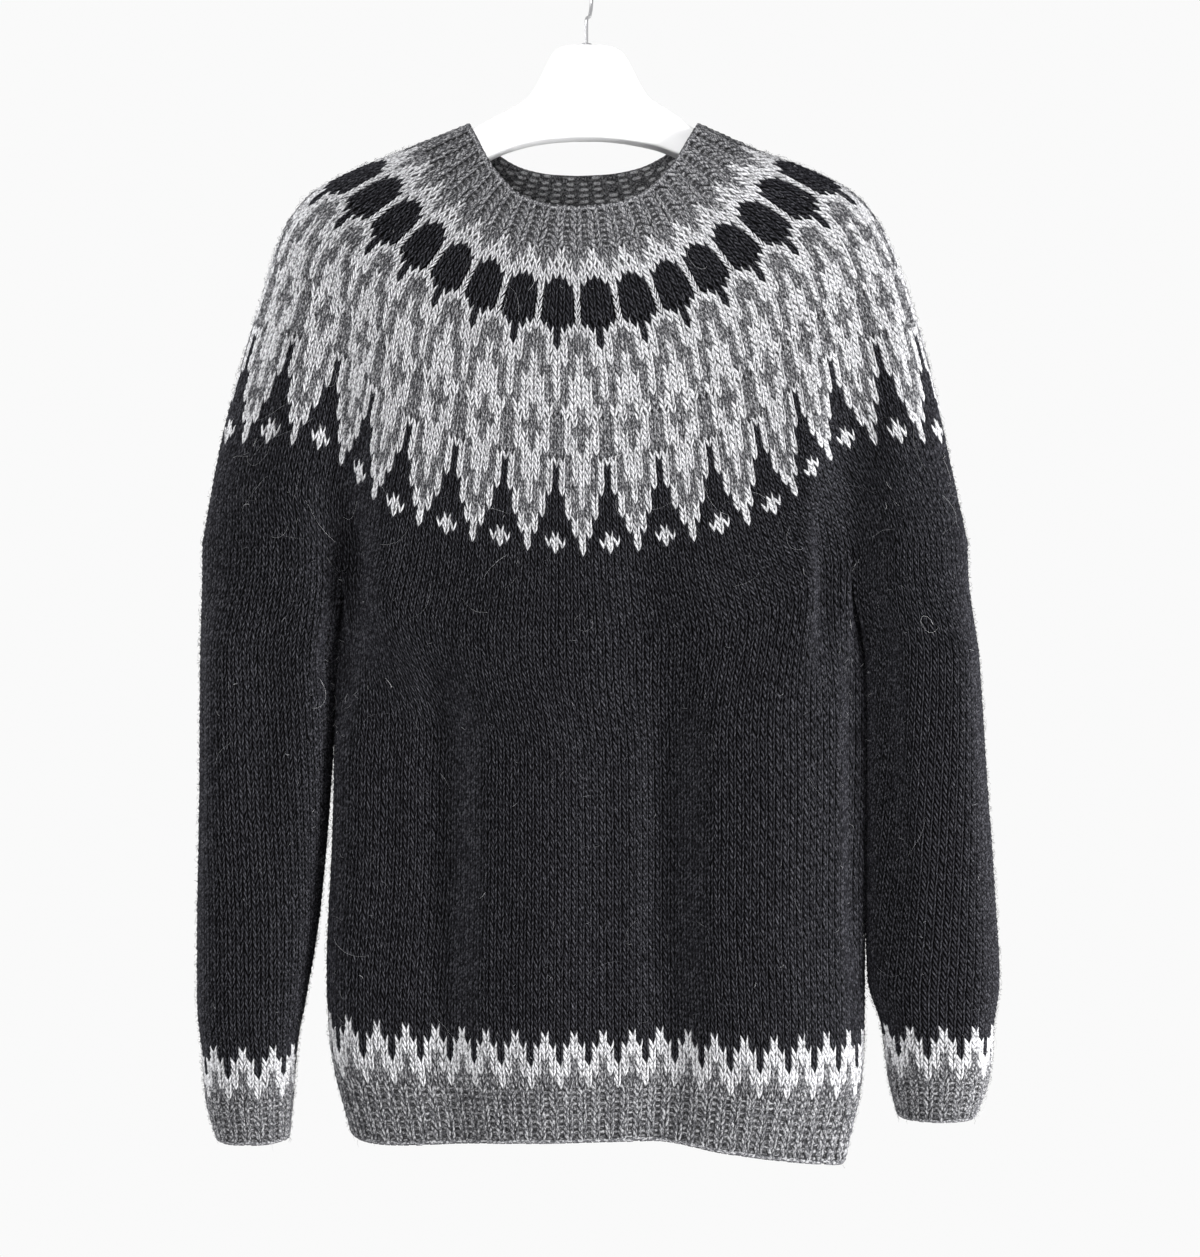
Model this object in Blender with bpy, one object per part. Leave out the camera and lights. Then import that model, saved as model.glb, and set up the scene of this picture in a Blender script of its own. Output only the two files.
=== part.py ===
# Nordic yoke sweater on a hanger, as solids.
#
# X runs to the right, Y to the back, Z up, in metres. The origin is the
# inside of the hanger hook's crown, where the hook rests on what carries it.
# The sizes below are in millimetres and in stitches. The knitting is worked
# in rounds, and every round is a closed curve that these tables describe.

from collections import namedtuple
from functools import lru_cache
from math import cos, pi, radians, sin

import bmesh
import bpy
import numpy as np

MM = 0.001

# Knitted fabric
WALL = 3.5
SEAM_GAP = 0.3
CORNER_SLACK = 2.8
RIB_RISE = 1.3

# Stitches in a round
YOKE_STITCHES = 256
BODY_STITCHES = 168
SLEEVE_STITCHES = 60
HALF_BACK = 38
SLEEVE_ARC = 52
UNDERARM = 8

# Rows, counted down from the neck edge in the yoke and from the join below it
NECKBAND_ROWS = 8
YOKE_ROWS = 75
BODY_ROWS = 75
HEM_ROWS = 84
SLEEVE_ROWS = 92
CUFF_ROWS = 100

# Columns of faces along each stretch of a round
BACK_HALF_FACES = 14
SLEEVE_ARC_FACES = 20
UNDERARM_FACES = 4
CREST_CLOSER = 1.3
RING_SAMPLES = 720
CLOTH_SHARP_ANGLE = 50

# Rows at which the solids have a ring of corners
YOKE_RING_ROWS = (8, 12, 16, 20, 24, 30, 38, 47, 56, 64, 70, 75)
BODY_RING_ROWS = (0, 4, 10, 18, 26, 35, 44, 54, 65, 75)
SLEEVE_RING_ROWS = (0, 4, 9, 15, 22, 31, 41, 51, 61, 71, 79, 86, 92)
RIB_BANDS = 2
CUFF_COLUMN_STEP = 1.5

# The rounds of the yoke. Reaches are measured from the middle, heights from
# the hook. The last three heights are shares of the way from the middle of
# the round to its side, at a quarter, half and three quarters of the reach.
YokeRound = namedtuple(
    "YokeRound",
    "row middle left right side front back front_depth back_depth "
    "square valley quarter half three_quarters",
)
YOKE_ROUNDS = (
    YokeRound(0, -7, 76, 86, -117.5, -182, -147, 48, 50, 1.00, 0.00, 0.03, 0.14, 0.44),
    YokeRound(8, -7, 115, 121, -133, -214, -181, 54, 54, 1.00, 0.00, 0.04, 0.19, 0.50),
    YokeRound(18, -6, 165, 172, -153, -256, -222, 58, 58, 1.00, 0.00, 0.06, 0.25, 0.56),
    YokeRound(24, -5, 193, 198, -169, -281, -247, 60, 59, 0.98, 0.00, 0.07, 0.27, 0.60),
    YokeRound(30, -4, 213, 217, -196, -305, -272, 61, 60, 0.94, 0.04, 0.07, 0.29, 0.66),
    YokeRound(40, -3, 229, 234, -244, -346, -313, 62, 60, 0.88, 0.12, 0.08, 0.30, 0.77),
    YokeRound(50, -3, 244, 248, -295, -387, -354, 63, 60, 0.84, 0.22, 0.09, 0.31, 0.88),
    YokeRound(60, -2, 258, 258, -346, -427, -395, 63, 60, 0.80, 0.34, 0.10, 0.33, 0.96),
    YokeRound(75, 0, 273, 271, -416, -489, -457, 62, 60, 0.76, 0.50, 0.10, 0.38, 0.95),
)
VALLEY_LEFT = -172
VALLEY_RIGHT = 187
VALLEY_WIDTH = 36
UNEVEN_ROWS = 22

# The rounds of the body below the join
BodyRound = namedtuple("BodyRound", "row middle left right front back square")
BODY_ROUNDS = (
    BodyRound(0, 2, 178, 188, 60, 58, 0.74),
    BodyRound(16, 6, 183, 192, 60, 58, 0.74),
    BodyRound(40, 7, 187, 191, 60, 58, 0.76),
    BodyRound(60, 7, 191, 191, 60, 58, 0.78),
    BodyRound(70, 7, 189, 190, 60, 57, 0.80),
    BodyRound(84, 7, 174, 177, 57, 54, 0.84),
)

# Height of the hem's edge round the body, by stitch from the centre back
HemEdge = namedtuple("HemEdge", "stitch height")
HEM_EDGE = (
    HemEdge(0, -828),
    HemEdge(40, -834),
    HemEdge(52, -839),
    HemEdge(70, -835),
    HemEdge(92, -834),
    HemEdge(104, -843),
    HemEdge(118, -853),
    HemEdge(124, -856),
    HemEdge(136, -845),
    HemEdge(168, -828),
)

# The rounds of the two sleeves. Outer and inner are distances from the
# middle of the body, and height is the height of the whole round.
SleeveRound = namedtuple("SleeveRound", "row outer inner front back height square")
LEFT_SLEEVE_ROUNDS = (
    SleeveRound(0, 273, 178, 45, 46, -425, 0.86),
    SleeveRound(16, 274.5, 180, 45, 46, -492, 0.88),
    SleeveRound(40, 275.5, 183, 42, 43, -593, 0.92),
    SleeveRound(60, 277, 189.5, 38, 38, -677, 0.95),
    SleeveRound(75, 277, 200, 37, 37, -742, 0.95),
    SleeveRound(83, 274, 207, 37, 36, -774, 0.95),
    SleeveRound(92, 271, 210, 35, 35, -809, 0.95),
    SleeveRound(100, 263, 213, 34, 33, -840, 0.95),
)
RIGHT_SLEEVE_ROUNDS = (
    SleeveRound(0, 271, 192, 44, 45, -425, 0.84),
    SleeveRound(16, 278, 200, 45, 46, -490, 0.88),
    SleeveRound(40, 285, 201.5, 43, 43, -587, 0.92),
    SleeveRound(60, 291, 201.5, 38, 38, -668, 0.95),
    SleeveRound(75, 294, 204, 37, 37, -728, 0.95),
    SleeveRound(83, 290, 212, 37, 36, -760, 0.95),
    SleeveRound(92, 287, 216, 36, 35, -795, 0.95),
    SleeveRound(100, 277, 223, 34, 33, -824, 0.95),
)
JOIN_ROWS = 20

# The largest folds. Stitch is where the fold runs at its top and bottom row,
# width is half its breadth in stitches, and a trough has a negative rise.
Fold = namedtuple("Fold", "stitch_top stitch_low width row_top row_low rise")
YOKE_FOLDS = (
    Fold(139.5, 139.5, 9, 52, 98, -9),
    Fold(106, 107, 9, 56, 94, -3),
    Fold(18, 16, 10, 50, 100, -5),
    Fold(240, 242, 10, 50, 100, -5),
)
BODY_FOLDS = (
    Fold(77, 77, 12, -20, 104, 6),
    Fold(92.5, 92.5, 9, -14, 104, -18),
    Fold(107.5, 107.5, 11, -10, 104, 7),
    Fold(59, 59.5, 8.5, -30, 104, -12),
    Fold(49, 49, 8, -10, 110, 4),
    Fold(16, 14, 11, -16, 100, -13),
    Fold(152, 155, 11, -16, 100, -13),
    Fold(0, 0, 10, -20, 104, 5),
    Fold(168, 168, 10, -20, 104, 5),
)
LEFT_SLEEVE_FOLDS = (
    Fold(48, 49, 6, -24, 60, -9),
    Fold(40, 41, 6, -20, 110, 4),
    Fold(14, 15, 6, -20, 90, -7),
)
RIGHT_SLEEVE_FOLDS = (
    Fold(12, 12, 6, -20, 70, -8),
    Fold(21, 20, 6, -20, 110, 4),
    Fold(46, 46, 6, -20, 90, -7),
)

# Hanger: height of its top and underside, and half its thickness, by X
HangerPlace = namedtuple("HangerPlace", "across top under half_thickness")
HANGER_PLACES = (
    HangerPlace(-80, -121.2, -145, 11.0),
    HangerPlace(-60, -110.8, -139, 11.5),
    HangerPlace(-47, -103.6, -135.5, 12.0),
    HangerPlace(-41, -99.2, -134, 12.0),
    HangerPlace(-34, -88, -132.4, 12.0),
    HangerPlace(-28, -76, -131.4, 12.0),
    HangerPlace(-23, -67, -130.6, 12.0),
    HangerPlace(-16, -63.0, -129.6, 12.0),
    HangerPlace(-8, -62.0, -128.7, 12.0),
    HangerPlace(8, -62.0, -128.7, 12.0),
    HangerPlace(17, -63.0, -129.6, 12.0),
    HangerPlace(25, -67, -130.8, 12.0),
    HangerPlace(31, -76, -131.8, 12.0),
    HangerPlace(37, -88, -132.6, 12.0),
    HangerPlace(44, -99.2, -134, 12.0),
    HangerPlace(50, -103.6, -135.5, 12.0),
    HangerPlace(62, -110.8, -139, 11.5),
    HangerPlace(76, -121.2, -145, 11.0),
)
ARM_ROWS = (4, 8, 12, 16, 20, 24)
ARM_DEPTH = 25
ARM_END_DEPTH = 15
ARM_HALF = 9.0
ARM_END_HALF = 7.5
ARM_CLEARANCE = 0.35
HANGER_SIDES = 14
CREST_REACH = 20
CREST_SAMPLES = 401
ARM_TAPER = 6
UNDER_ROUNDNESS = 0.5
SHARP_ANGLE = 40

# Hook: a bent wire whose plane is turned away from the hanger's
WIRE = 3.2
HOOK_RADIUS = 20
HOOK_TURN = 80
SHANK_TOP = -45
SHANK_FOOT = -62
HOOK_TIP_ANGLE = 190
HOOK_STEPS = 22
BEND_START = -52
BEND_STEPS = 6


def table_at(table, row):
    """The sizes of a round, read between the rows of its table."""
    rows = [place.row for place in table]
    columns = zip(*(place[1:] for place in table))
    return type(table[0])(row, *(smooth(rows, column, row) for column in columns))


def smooth(places, values, at):
    """Reads a smooth curve that passes through the values without overshooting."""
    places = np.asarray(places, float)
    values = np.asarray(values, float)
    step = np.diff(places)
    rise = np.diff(values) / step
    before, after = rise[:-1], rise[1:]
    together = np.where(before * after > 0, before + after, 1.0)
    slope = np.empty(len(values))
    slope[0], slope[-1] = rise[0], rise[-1]
    slope[1:-1] = np.where(before * after > 0, 2 * before * after / together, 0.0)
    cell = np.clip(np.searchsorted(places, at, side="right") - 1, 0, len(step) - 1)
    along = (at - places[cell]) / step[cell]
    back = 1 - along
    return (
        values[cell] * back**2 * (1 + 2 * along)
        + values[cell + 1] * along**2 * (1 + 2 * back)
        + step[cell] * along * back * (slope[cell] * back - slope[cell + 1] * along)
    )


def ease(share):
    """Goes from 0 to 1 with a soft start and end."""
    share = np.clip(share, 0, 1)
    return share * share * (3 - 2 * share)


def lobe(distance):
    """One soft hump, 1 in the middle and 0 from a distance of 1."""
    return np.where(np.abs(distance) < 1, 0.5 + 0.5 * np.cos(pi * distance), 0.0)


def plan_normals(ring, closed=True):
    """Level directions out of a round that runs anticlockwise, seen from above."""
    if closed:
        along = np.roll(ring, -1, axis=0) - np.roll(ring, 1, axis=0)
    else:
        along = np.gradient(ring, axis=0)
    outward = np.stack([along[:, 1], -along[:, 0], 0 * along[:, 0]], axis=1)
    return outward / np.linalg.norm(outward, axis=1)[:, None]


def shares_of_length(ring):
    """How far round a ring each sample lies, where its middle sample is half way."""
    steps = np.linalg.norm(np.diff(ring, axis=0), axis=1)
    walked = np.concatenate([[0], np.cumsum(steps)])
    half = walked[RING_SAMPLES // 2]
    first = 0.5 * walked / half
    second = 0.5 + 0.5 * (walked - half) / (walked[-1] - half)
    return np.where(walked <= half, first, second)


def folded(ring, folds, row, stitches):
    """Moves a ring's samples out on ridges and in at troughs."""
    place = shares_of_length(ring) * stitches
    rise = np.zeros(len(ring))
    for fold in folds:
        down = (row - fold.row_top) / (fold.row_low - fold.row_top)
        if 0 < down < 1:
            strength = fold.rise * ease(2.5 * down) * ease(2.5 * (1 - down))
            centre = fold.stitch_top + (fold.stitch_low - fold.stitch_top) * down
            rise += strength * lobe((place - centre) / fold.width)
    normals = plan_normals(ring[:-1])
    normals = np.vstack([normals, normals[:1]])
    return ring + normals * rise[:, None]


def at_shares(ring, shares):
    """Points on a ring at the given shares of its length."""
    walked = shares_of_length(ring)
    shares = np.mod(shares, 1.0)
    return np.stack([np.interp(shares, walked, axis) for axis in ring.T], axis=1)


def yoke_turns():
    """Angles round a yoke's round, from the centre back over the left side."""
    return np.linspace(0, 2 * pi, RING_SAMPLES + 1)


@lru_cache
def yoke_ring(row):
    """A dense ring of one yoke round."""
    size = table_at(YOKE_ROUNDS, row)
    turn = yoke_turns()
    spread = np.abs(np.sin(turn)) ** size.square
    reach = np.where(np.sin(turn) > 0, -size.left, size.right)
    x = size.middle + reach * spread
    behind = np.cos(turn) > 0
    depth = np.where(behind, size.back_depth, -size.front_depth)
    y = depth * np.abs(np.cos(turn)) ** size.square
    y *= 1 - size.valley * lobe((x - VALLEY_LEFT) / VALLEY_WIDTH)
    y *= 1 - size.valley * lobe((x - VALLEY_RIGHT) / VALLEY_WIDTH)
    shares = (0, 0.25, 0.5, 0.75, 1)
    heights = (0, size.quarter, size.half, size.three_quarters, 1)
    rise = smooth(shares, heights, spread)
    middle = np.where(behind, size.back, size.front)
    z = middle + (size.side - middle) * rise
    return folded(np.stack([x, y, z], axis=1), YOKE_FOLDS, row, YOKE_STITCHES)


@lru_cache
def join_stitches():
    """Yoke stitches at which the join's stretches meet, and their shares of length."""
    size = YOKE_ROUNDS[-1]
    left = ((size.middle - VALLEY_LEFT) / size.left) ** (1 / size.square)
    right = ((VALLEY_RIGHT - size.middle) / size.right) ** (1 / size.square)
    turns = (
        0,
        np.arcsin(left),
        pi / 2,
        pi - np.arcsin(left),
        pi,
        pi + np.arcsin(right),
        pi * 1.5,
        2 * pi - np.arcsin(right),
        2 * pi,
    )
    shares = np.interp(turns, yoke_turns(), shares_of_length(yoke_ring(YOKE_ROWS)))
    quarter = YOKE_STITCHES / 4
    half_sleeve = SLEEVE_ARC / 2
    stitches = [0]
    for crest in (quarter, 3 * quarter):
        stitches += [crest - half_sleeve, crest, crest + half_sleeve, crest + quarter]
    return stitches, shares


def yoke_points(row, stitch):
    """Points of the yoke's outside at one row, by stitch from the centre back."""
    stitch = np.mod(stitch, YOKE_STITCHES)
    ring = yoke_ring(row)
    quarters = np.linspace(0, 1, 5)
    turned = shares_of_length(ring)[(quarters * RING_SAMPLES).astype(int)]
    even = np.interp(stitch / YOKE_STITCHES, quarters, turned)
    joined = np.interp(stitch, *join_stitches())
    near_join = ease((row - (YOKE_ROWS - UNEVEN_ROWS)) / UNEVEN_ROWS)
    return at_shares(ring, even + (joined - even) * near_join)


def underarm(left_side, share):
    """The grafted edge under an arm, from its back end to its front end."""
    first = HALF_BACK if left_side else YOKE_STITCHES - HALF_BACK
    last = HALF_BACK + SLEEVE_ARC if left_side else first - SLEEVE_ARC
    back_end, front_end = yoke_points(YOKE_ROWS, np.array([first, last], float))
    share = np.asarray(share, float)[:, None]
    bulge = np.sin(pi * share)
    outward = -1 if left_side else 1
    sag = bulge * np.array([outward * 4.0, 0.0, -5.0])
    ends = np.isclose(share, 0) | np.isclose(share, 1)
    slack = np.where(ends, CORNER_SLACK, 0.0) * np.array([0.0, 0.0, -1.0])
    return back_end + (front_end - back_end) * share + sag + slack


def body_top(stitch):
    """The body's edge at the join and under the arms."""
    points = np.empty((len(stitch), 3))
    front = HALF_BACK + UNDERARM
    for place, number in enumerate(np.mod(stitch, BODY_STITCHES)):
        if HALF_BACK <= number <= front:
            share = (number - HALF_BACK) / UNDERARM
            points[place] = underarm(True, [share])[0] + (SEAM_GAP / 2, 0, 0)
        elif BODY_STITCHES - front <= number <= BODY_STITCHES - HALF_BACK:
            share = (BODY_STITCHES - HALF_BACK - number) / UNDERARM
            points[place] = underarm(False, [share])[0] - (SEAM_GAP / 2, 0, 0)
        elif number < HALF_BACK:
            points[place] = yoke_points(YOKE_ROWS, np.array([number]))[0]
        elif number < BODY_STITCHES - front:
            over = SLEEVE_ARC - UNDERARM
            points[place] = yoke_points(YOKE_ROWS, np.array([number + over]))[0]
        else:
            over = 2 * (SLEEVE_ARC - UNDERARM)
            points[place] = yoke_points(YOKE_ROWS, np.array([number + over]))[0]
    return points


def body_points(row, stitch, top):
    """Points of the body's outside at one row, whose edge at the join is known."""
    size = table_at(BODY_ROUNDS, row)
    turn = yoke_turns()
    spread = np.abs(np.sin(turn)) ** size.square
    reach = np.where(np.sin(turn) > 0, -size.left, size.right)
    depth = np.where(np.cos(turn) > 0, size.back, -size.front)
    x = size.middle + reach * spread
    y = depth * np.abs(np.cos(turn)) ** size.square
    ring = folded(np.stack([x, y, 0 * x], axis=1), BODY_FOLDS, row, BODY_STITCHES)
    plain = at_shares(ring, stitch / BODY_STITCHES)
    away = ease(row / JOIN_ROWS)
    points = top + (plain - top) * away
    edge = smooth(*zip(*HEM_EDGE), np.mod(stitch, BODY_STITCHES))
    points[:, 2] = top[:, 2] + (edge - top[:, 2]) * row / HEM_ROWS
    return points


def sleeve_top(left_side, stitch):
    """A sleeve's edge at the join and under the arm, by stitch from the underarm."""
    points = np.empty((len(stitch), 3))
    half = UNDERARM / 2
    first = HALF_BACK if left_side else YOKE_STITCHES - HALF_BACK - SLEEVE_ARC
    apart = np.array([-1 if left_side else 1, 0, 0]) * SEAM_GAP / 2
    for place, number in enumerate(np.mod(stitch, SLEEVE_STITCHES)):
        if half < number < SLEEVE_STITCHES - half:
            points[place] = yoke_points(YOKE_ROWS, np.array([first + number - half]))[0]
            continue
        past = number if number <= half else number - SLEEVE_STITCHES
        share = 0.5 - past / UNDERARM if left_side else 0.5 + past / UNDERARM
        points[place] = underarm(left_side, [share])[0] + apart
    return points


def sleeve_points(left_side, row, stitch, top):
    """Points of a sleeve's outside at one row, whose edge at the join is known."""
    table = LEFT_SLEEVE_ROUNDS if left_side else RIGHT_SLEEVE_ROUNDS
    folds = LEFT_SLEEVE_FOLDS if left_side else RIGHT_SLEEVE_FOLDS
    size = table_at(table, row)
    side = -1 if left_side else 1
    turn = yoke_turns()
    middle = side * (size.outer + size.inner) / 2
    across = -side * (size.outer - size.inner) / 2
    x = middle + across * np.sign(np.cos(turn)) * np.abs(np.cos(turn)) ** size.square
    turned = -side * np.sin(turn)
    depth = np.where(turned > 0, size.back, size.front)
    y = depth * np.sign(turned) * np.abs(turned) ** size.square
    ring = folded(np.stack([x, y, 0 * x], axis=1), folds, row, SLEEVE_STITCHES)
    plain = at_shares(ring, stitch / SLEEVE_STITCHES)
    away = ease(row / JOIN_ROWS)
    points = top + (plain - top) * away
    tilt = top[:, 2] - table[0].height
    points[:, 2] = size.height + tilt * (1 - ease(row / (3 * JOIN_ROWS)))
    return points


def shifted_along(points, toward, distance):
    """Moves a ring's points a set distance toward another ring's."""
    way = toward - points
    return points + way / np.linalg.norm(way, axis=1)[:, None] * distance


def wall_mesh(name, outer, inner, material):
    """A closed wall between two grids of rings, which run from top to bottom."""
    rings, columns = outer.shape[:2]
    mesh = bpy.data.meshes.new(name)
    shape = bmesh.new()
    out = [[shape.verts.new(point * MM) for point in ring] for ring in outer]
    inn = [[shape.verts.new(point * MM) for point in ring] for ring in inner]
    for column in range(columns):
        after = (column + 1) % columns
        for ring in range(rings - 1):
            low = ring + 1
            shape.faces.new(
                (out[low][column], out[low][after], out[ring][after], out[ring][column])
            )
            shape.faces.new(
                (inn[low][after], inn[low][column], inn[ring][column], inn[ring][after])
            )
        shape.faces.new((out[0][column], out[0][after], inn[0][after], inn[0][column]))
        shape.faces.new(
            (out[-1][after], out[-1][column], inn[-1][column], inn[-1][after])
        )
    bmesh.ops.triangulate(shape, faces=shape.faces[:])
    shape.to_mesh(mesh)
    shape.free()
    mesh.materials.append(material)
    mesh.shade_smooth()
    mesh.set_sharp_from_angle(angle=radians(CLOTH_SHARP_ANGLE))
    piece = bpy.data.objects.new(name, mesh)
    parts.objects.link(piece)
    return piece


def ribbed(outer, normals):
    """Raises every second column of a wall's outside."""
    raised = outer.copy()
    raised[:, ::2] += normals[:, ::2] * RIB_RISE
    return raised


def rows_between(first, last, bands):
    return np.linspace(first, last, bands + 1)


def stretch(first, last, faces):
    """Even places from first up to, and without, last."""
    return list(np.linspace(first, last, faces, endpoint=False))


def over_arm(middle):
    """Places across a sleeve's arc, closer where it is folded over the arm."""
    share = np.linspace(-1, 1, SLEEVE_ARC_FACES, endpoint=False)
    return list(middle + SLEEVE_ARC / 2 * np.sign(share) * np.abs(share) ** CREST_CLOSER)


def yoke_columns():
    """Stitches at the yoke's columns, with one on each end of each stretch."""
    quarter = YOKE_STITCHES / 4
    columns = []
    for start in (0, 2 * quarter):
        crest, end = start + quarter, start + 2 * quarter
        columns += stretch(start, crest - SLEEVE_ARC / 2, BACK_HALF_FACES)
        columns += over_arm(crest)
        columns += stretch(crest + SLEEVE_ARC / 2, end, BACK_HALF_FACES)
    return np.array(columns)


def body_columns():
    front = HALF_BACK + UNDERARM
    halves = (0, HALF_BACK, front, BODY_STITCHES / 2)
    faces = (BACK_HALF_FACES, UNDERARM_FACES, BACK_HALF_FACES)
    left = [p for span in zip(halves[:-1], halves[1:], faces) for p in stretch(*span)]
    right = [BODY_STITCHES - place for place in left[:0:-1]]
    return np.array(left + [BODY_STITCHES / 2] + right)


def sleeve_columns():
    half = UNDERARM / 2
    top = over_arm(SLEEVE_STITCHES / 2)
    back = stretch(0, half, UNDERARM_FACES // 2)
    front = stretch(SLEEVE_STITCHES - half, SLEEVE_STITCHES, UNDERARM_FACES // 2)
    return np.array(back + top + front)


def yoke_grid(rows, stitch):
    """The yoke's outside and the directions out of it, ring by ring."""
    outer = np.array([yoke_points(row, stitch) for row in rows])
    normals = np.empty_like(outer)
    for place, row in enumerate(rows):
        above = yoke_points(max(row - 1, 0), stitch)
        below = yoke_points(min(row + 1, YOKE_ROWS), stitch)
        ring = outer[place]
        along = np.roll(ring, -1, axis=0) - np.roll(ring, 1, axis=0)
        slanted = np.cross(below - above, along)
        slanted /= np.linalg.norm(slanted, axis=1)[:, None]
        upright = ease((row - (YOKE_ROWS - UNEVEN_ROWS)) / UNEVEN_ROWS)
        mixed = slanted + (plan_normals(ring) - slanted) * upright
        normals[place] = mixed / np.linalg.norm(mixed, axis=1)[:, None]
    return outer, normals


def build_yoke(material_yoke, material_rib):
    """The neckband and the yoke, which share their columns."""
    stitch = yoke_columns()
    bands = {
        "neckband": (rows_between(0, NECKBAND_ROWS, RIB_BANDS), material_rib),
        "yoke": (np.array(YOKE_RING_ROWS, float), material_yoke),
    }
    for name, (rows, material) in bands.items():
        outer, normals = yoke_grid(rows, stitch)
        if name == "neckband":
            outer[-1] = shifted_along(outer[-1], outer[-2], SEAM_GAP / 2)
        else:
            outer[0] = shifted_along(outer[0], outer[1], SEAM_GAP / 2)
            outer[-1] = shifted_along(outer[-1], outer[-2], SEAM_GAP / 2)
        inner = outer - normals * WALL
        if name == "neckband":
            outer = ribbed(outer, normals)
        wall_mesh(name, outer, inner, material)


def build_tube(name, rows, ring_at, material, top_seam, bottom_seam, ribs=False):
    """A length of the body or a sleeve, from the function that gives its rings."""
    outer = np.array([ring_at(row) for row in rows])
    normals = np.array([plan_normals(ring) for ring in outer])
    if top_seam:
        outer[0] = shifted_along(outer[0], outer[1], SEAM_GAP / 2)
    if bottom_seam:
        outer[-1] = shifted_along(outer[-1], outer[-2], SEAM_GAP / 2)
    inner = outer - normals * WALL
    if ribs:
        outer = ribbed(outer, normals)
    wall_mesh(name, outer, inner, material)


def build_body(material_plain, material_rib):
    stitch = body_columns()
    top = body_top(stitch)
    build_tube(
        "body",
        np.array(BODY_RING_ROWS, float),
        lambda row: body_points(row, stitch, top),
        material_plain,
        top_seam=True,
        bottom_seam=True,
    )
    single = np.arange(BODY_STITCHES, dtype=float)
    single_top = body_top(single)
    edge = body_points(BODY_ROWS, stitch, top)
    seam = np.stack(
        [np.interp(single, stitch, axis, period=BODY_STITCHES) for axis in edge.T], axis=1
    )
    build_tube(
        "hem_rib",
        rows_between(BODY_ROWS, HEM_ROWS, RIB_BANDS),
        lambda row: seam if row == BODY_ROWS else body_points(row, single, single_top),
        material_rib,
        top_seam=True,
        bottom_seam=False,
        ribs=True,
    )


def build_sleeve(left_side, material_plain, material_rib):
    side = "left" if left_side else "right"
    stitch = sleeve_columns()
    top = sleeve_top(left_side, stitch)
    build_tube(
        "sleeve_" + side,
        np.array(SLEEVE_RING_ROWS, float),
        lambda row: sleeve_points(left_side, row, stitch, top),
        material_plain,
        top_seam=True,
        bottom_seam=True,
    )
    single = np.arange(0, SLEEVE_STITCHES, CUFF_COLUMN_STEP)
    single_top = sleeve_top(left_side, single)
    build_tube(
        "cuff_" + side,
        rows_between(SLEEVE_ROWS, CUFF_ROWS, RIB_BANDS),
        lambda row: sleeve_points(left_side, row, single, single_top),
        material_rib,
        top_seam=True,
        bottom_seam=False,
        ribs=True,
    )


def shoulder_crest(row, left_side):
    """Where a yoke round's underside crosses the top of the hanger's arm."""
    reach = YOKE_STITCHES / 4 * (1 if left_side else 3)
    near = np.linspace(reach - CREST_REACH, reach + CREST_REACH, CREST_SAMPLES)
    ring = yoke_points(row, near)
    crest = ring[np.argmin(np.abs(ring[:, 1]))]
    beside = yoke_points(row + 1, near)
    after = beside[np.argmin(np.abs(beside[:, 1]))]
    way = after - crest
    down = np.array([way[2], 0, -way[0]]) * (1 if left_side else -1)
    down *= np.sign(-down[2])
    return crest + down / np.linalg.norm(down) * (WALL + ARM_CLEARANCE)


def arm_places(left_side):
    """Sections of the hanger's arm, from the end of the shoulder inward."""
    places = []
    last = ARM_ROWS[-1]
    for row in reversed(ARM_ROWS):
        x, _, z = shoulder_crest(row, left_side)
        share = row / last
        depth = ARM_DEPTH + (ARM_END_DEPTH - ARM_DEPTH) * share**ARM_TAPER
        half = ARM_HALF + (ARM_END_HALF - ARM_HALF) * share
        places.append(HangerPlace(x, z, z - depth, half))
    return places


def hanger_section(place):
    """Points round one upright section of the hanger, with a half-round top."""
    points = []
    round_over = min(place.half_thickness, (place.top - place.under) / 2)
    for step in range(HANGER_SIDES):
        angle = 2 * pi * step / HANGER_SIDES
        y = place.half_thickness * sin(angle)
        if cos(angle) > 0:
            z = place.top - round_over * (1 - cos(angle))
        else:
            z = place.under + round_over * UNDER_ROUNDNESS * (1 + cos(angle))
        points.append(np.array([place.across, y, z]))
    return points


def build_hanger(material):
    """The hanger's body: a block that flares into two arms."""
    places = arm_places(True) + list(HANGER_PLACES) + arm_places(False)[::-1]
    mesh = bpy.data.meshes.new("hanger")
    shape = bmesh.new()
    loops = []
    for place in places:
        loops.append([shape.verts.new(point * MM) for point in hanger_section(place)])
    for loop, following in zip(loops[:-1], loops[1:]):
        for side in range(HANGER_SIDES):
            after = (side + 1) % HANGER_SIDES
            shape.faces.new(
                (loop[side], following[side], following[after], loop[after])
            )
    shape.faces.new(loops[0])
    shape.faces.new(reversed(loops[-1]))
    bmesh.ops.triangulate(shape, faces=shape.faces[:])
    bmesh.ops.recalc_face_normals(shape, faces=shape.faces[:])
    shape.to_mesh(mesh)
    shape.free()
    mesh.materials.append(material)
    mesh.shade_smooth()
    mesh.set_sharp_from_angle(angle=radians(SHARP_ANGLE))
    parts.objects.link(bpy.data.objects.new("hanger", mesh))


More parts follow.
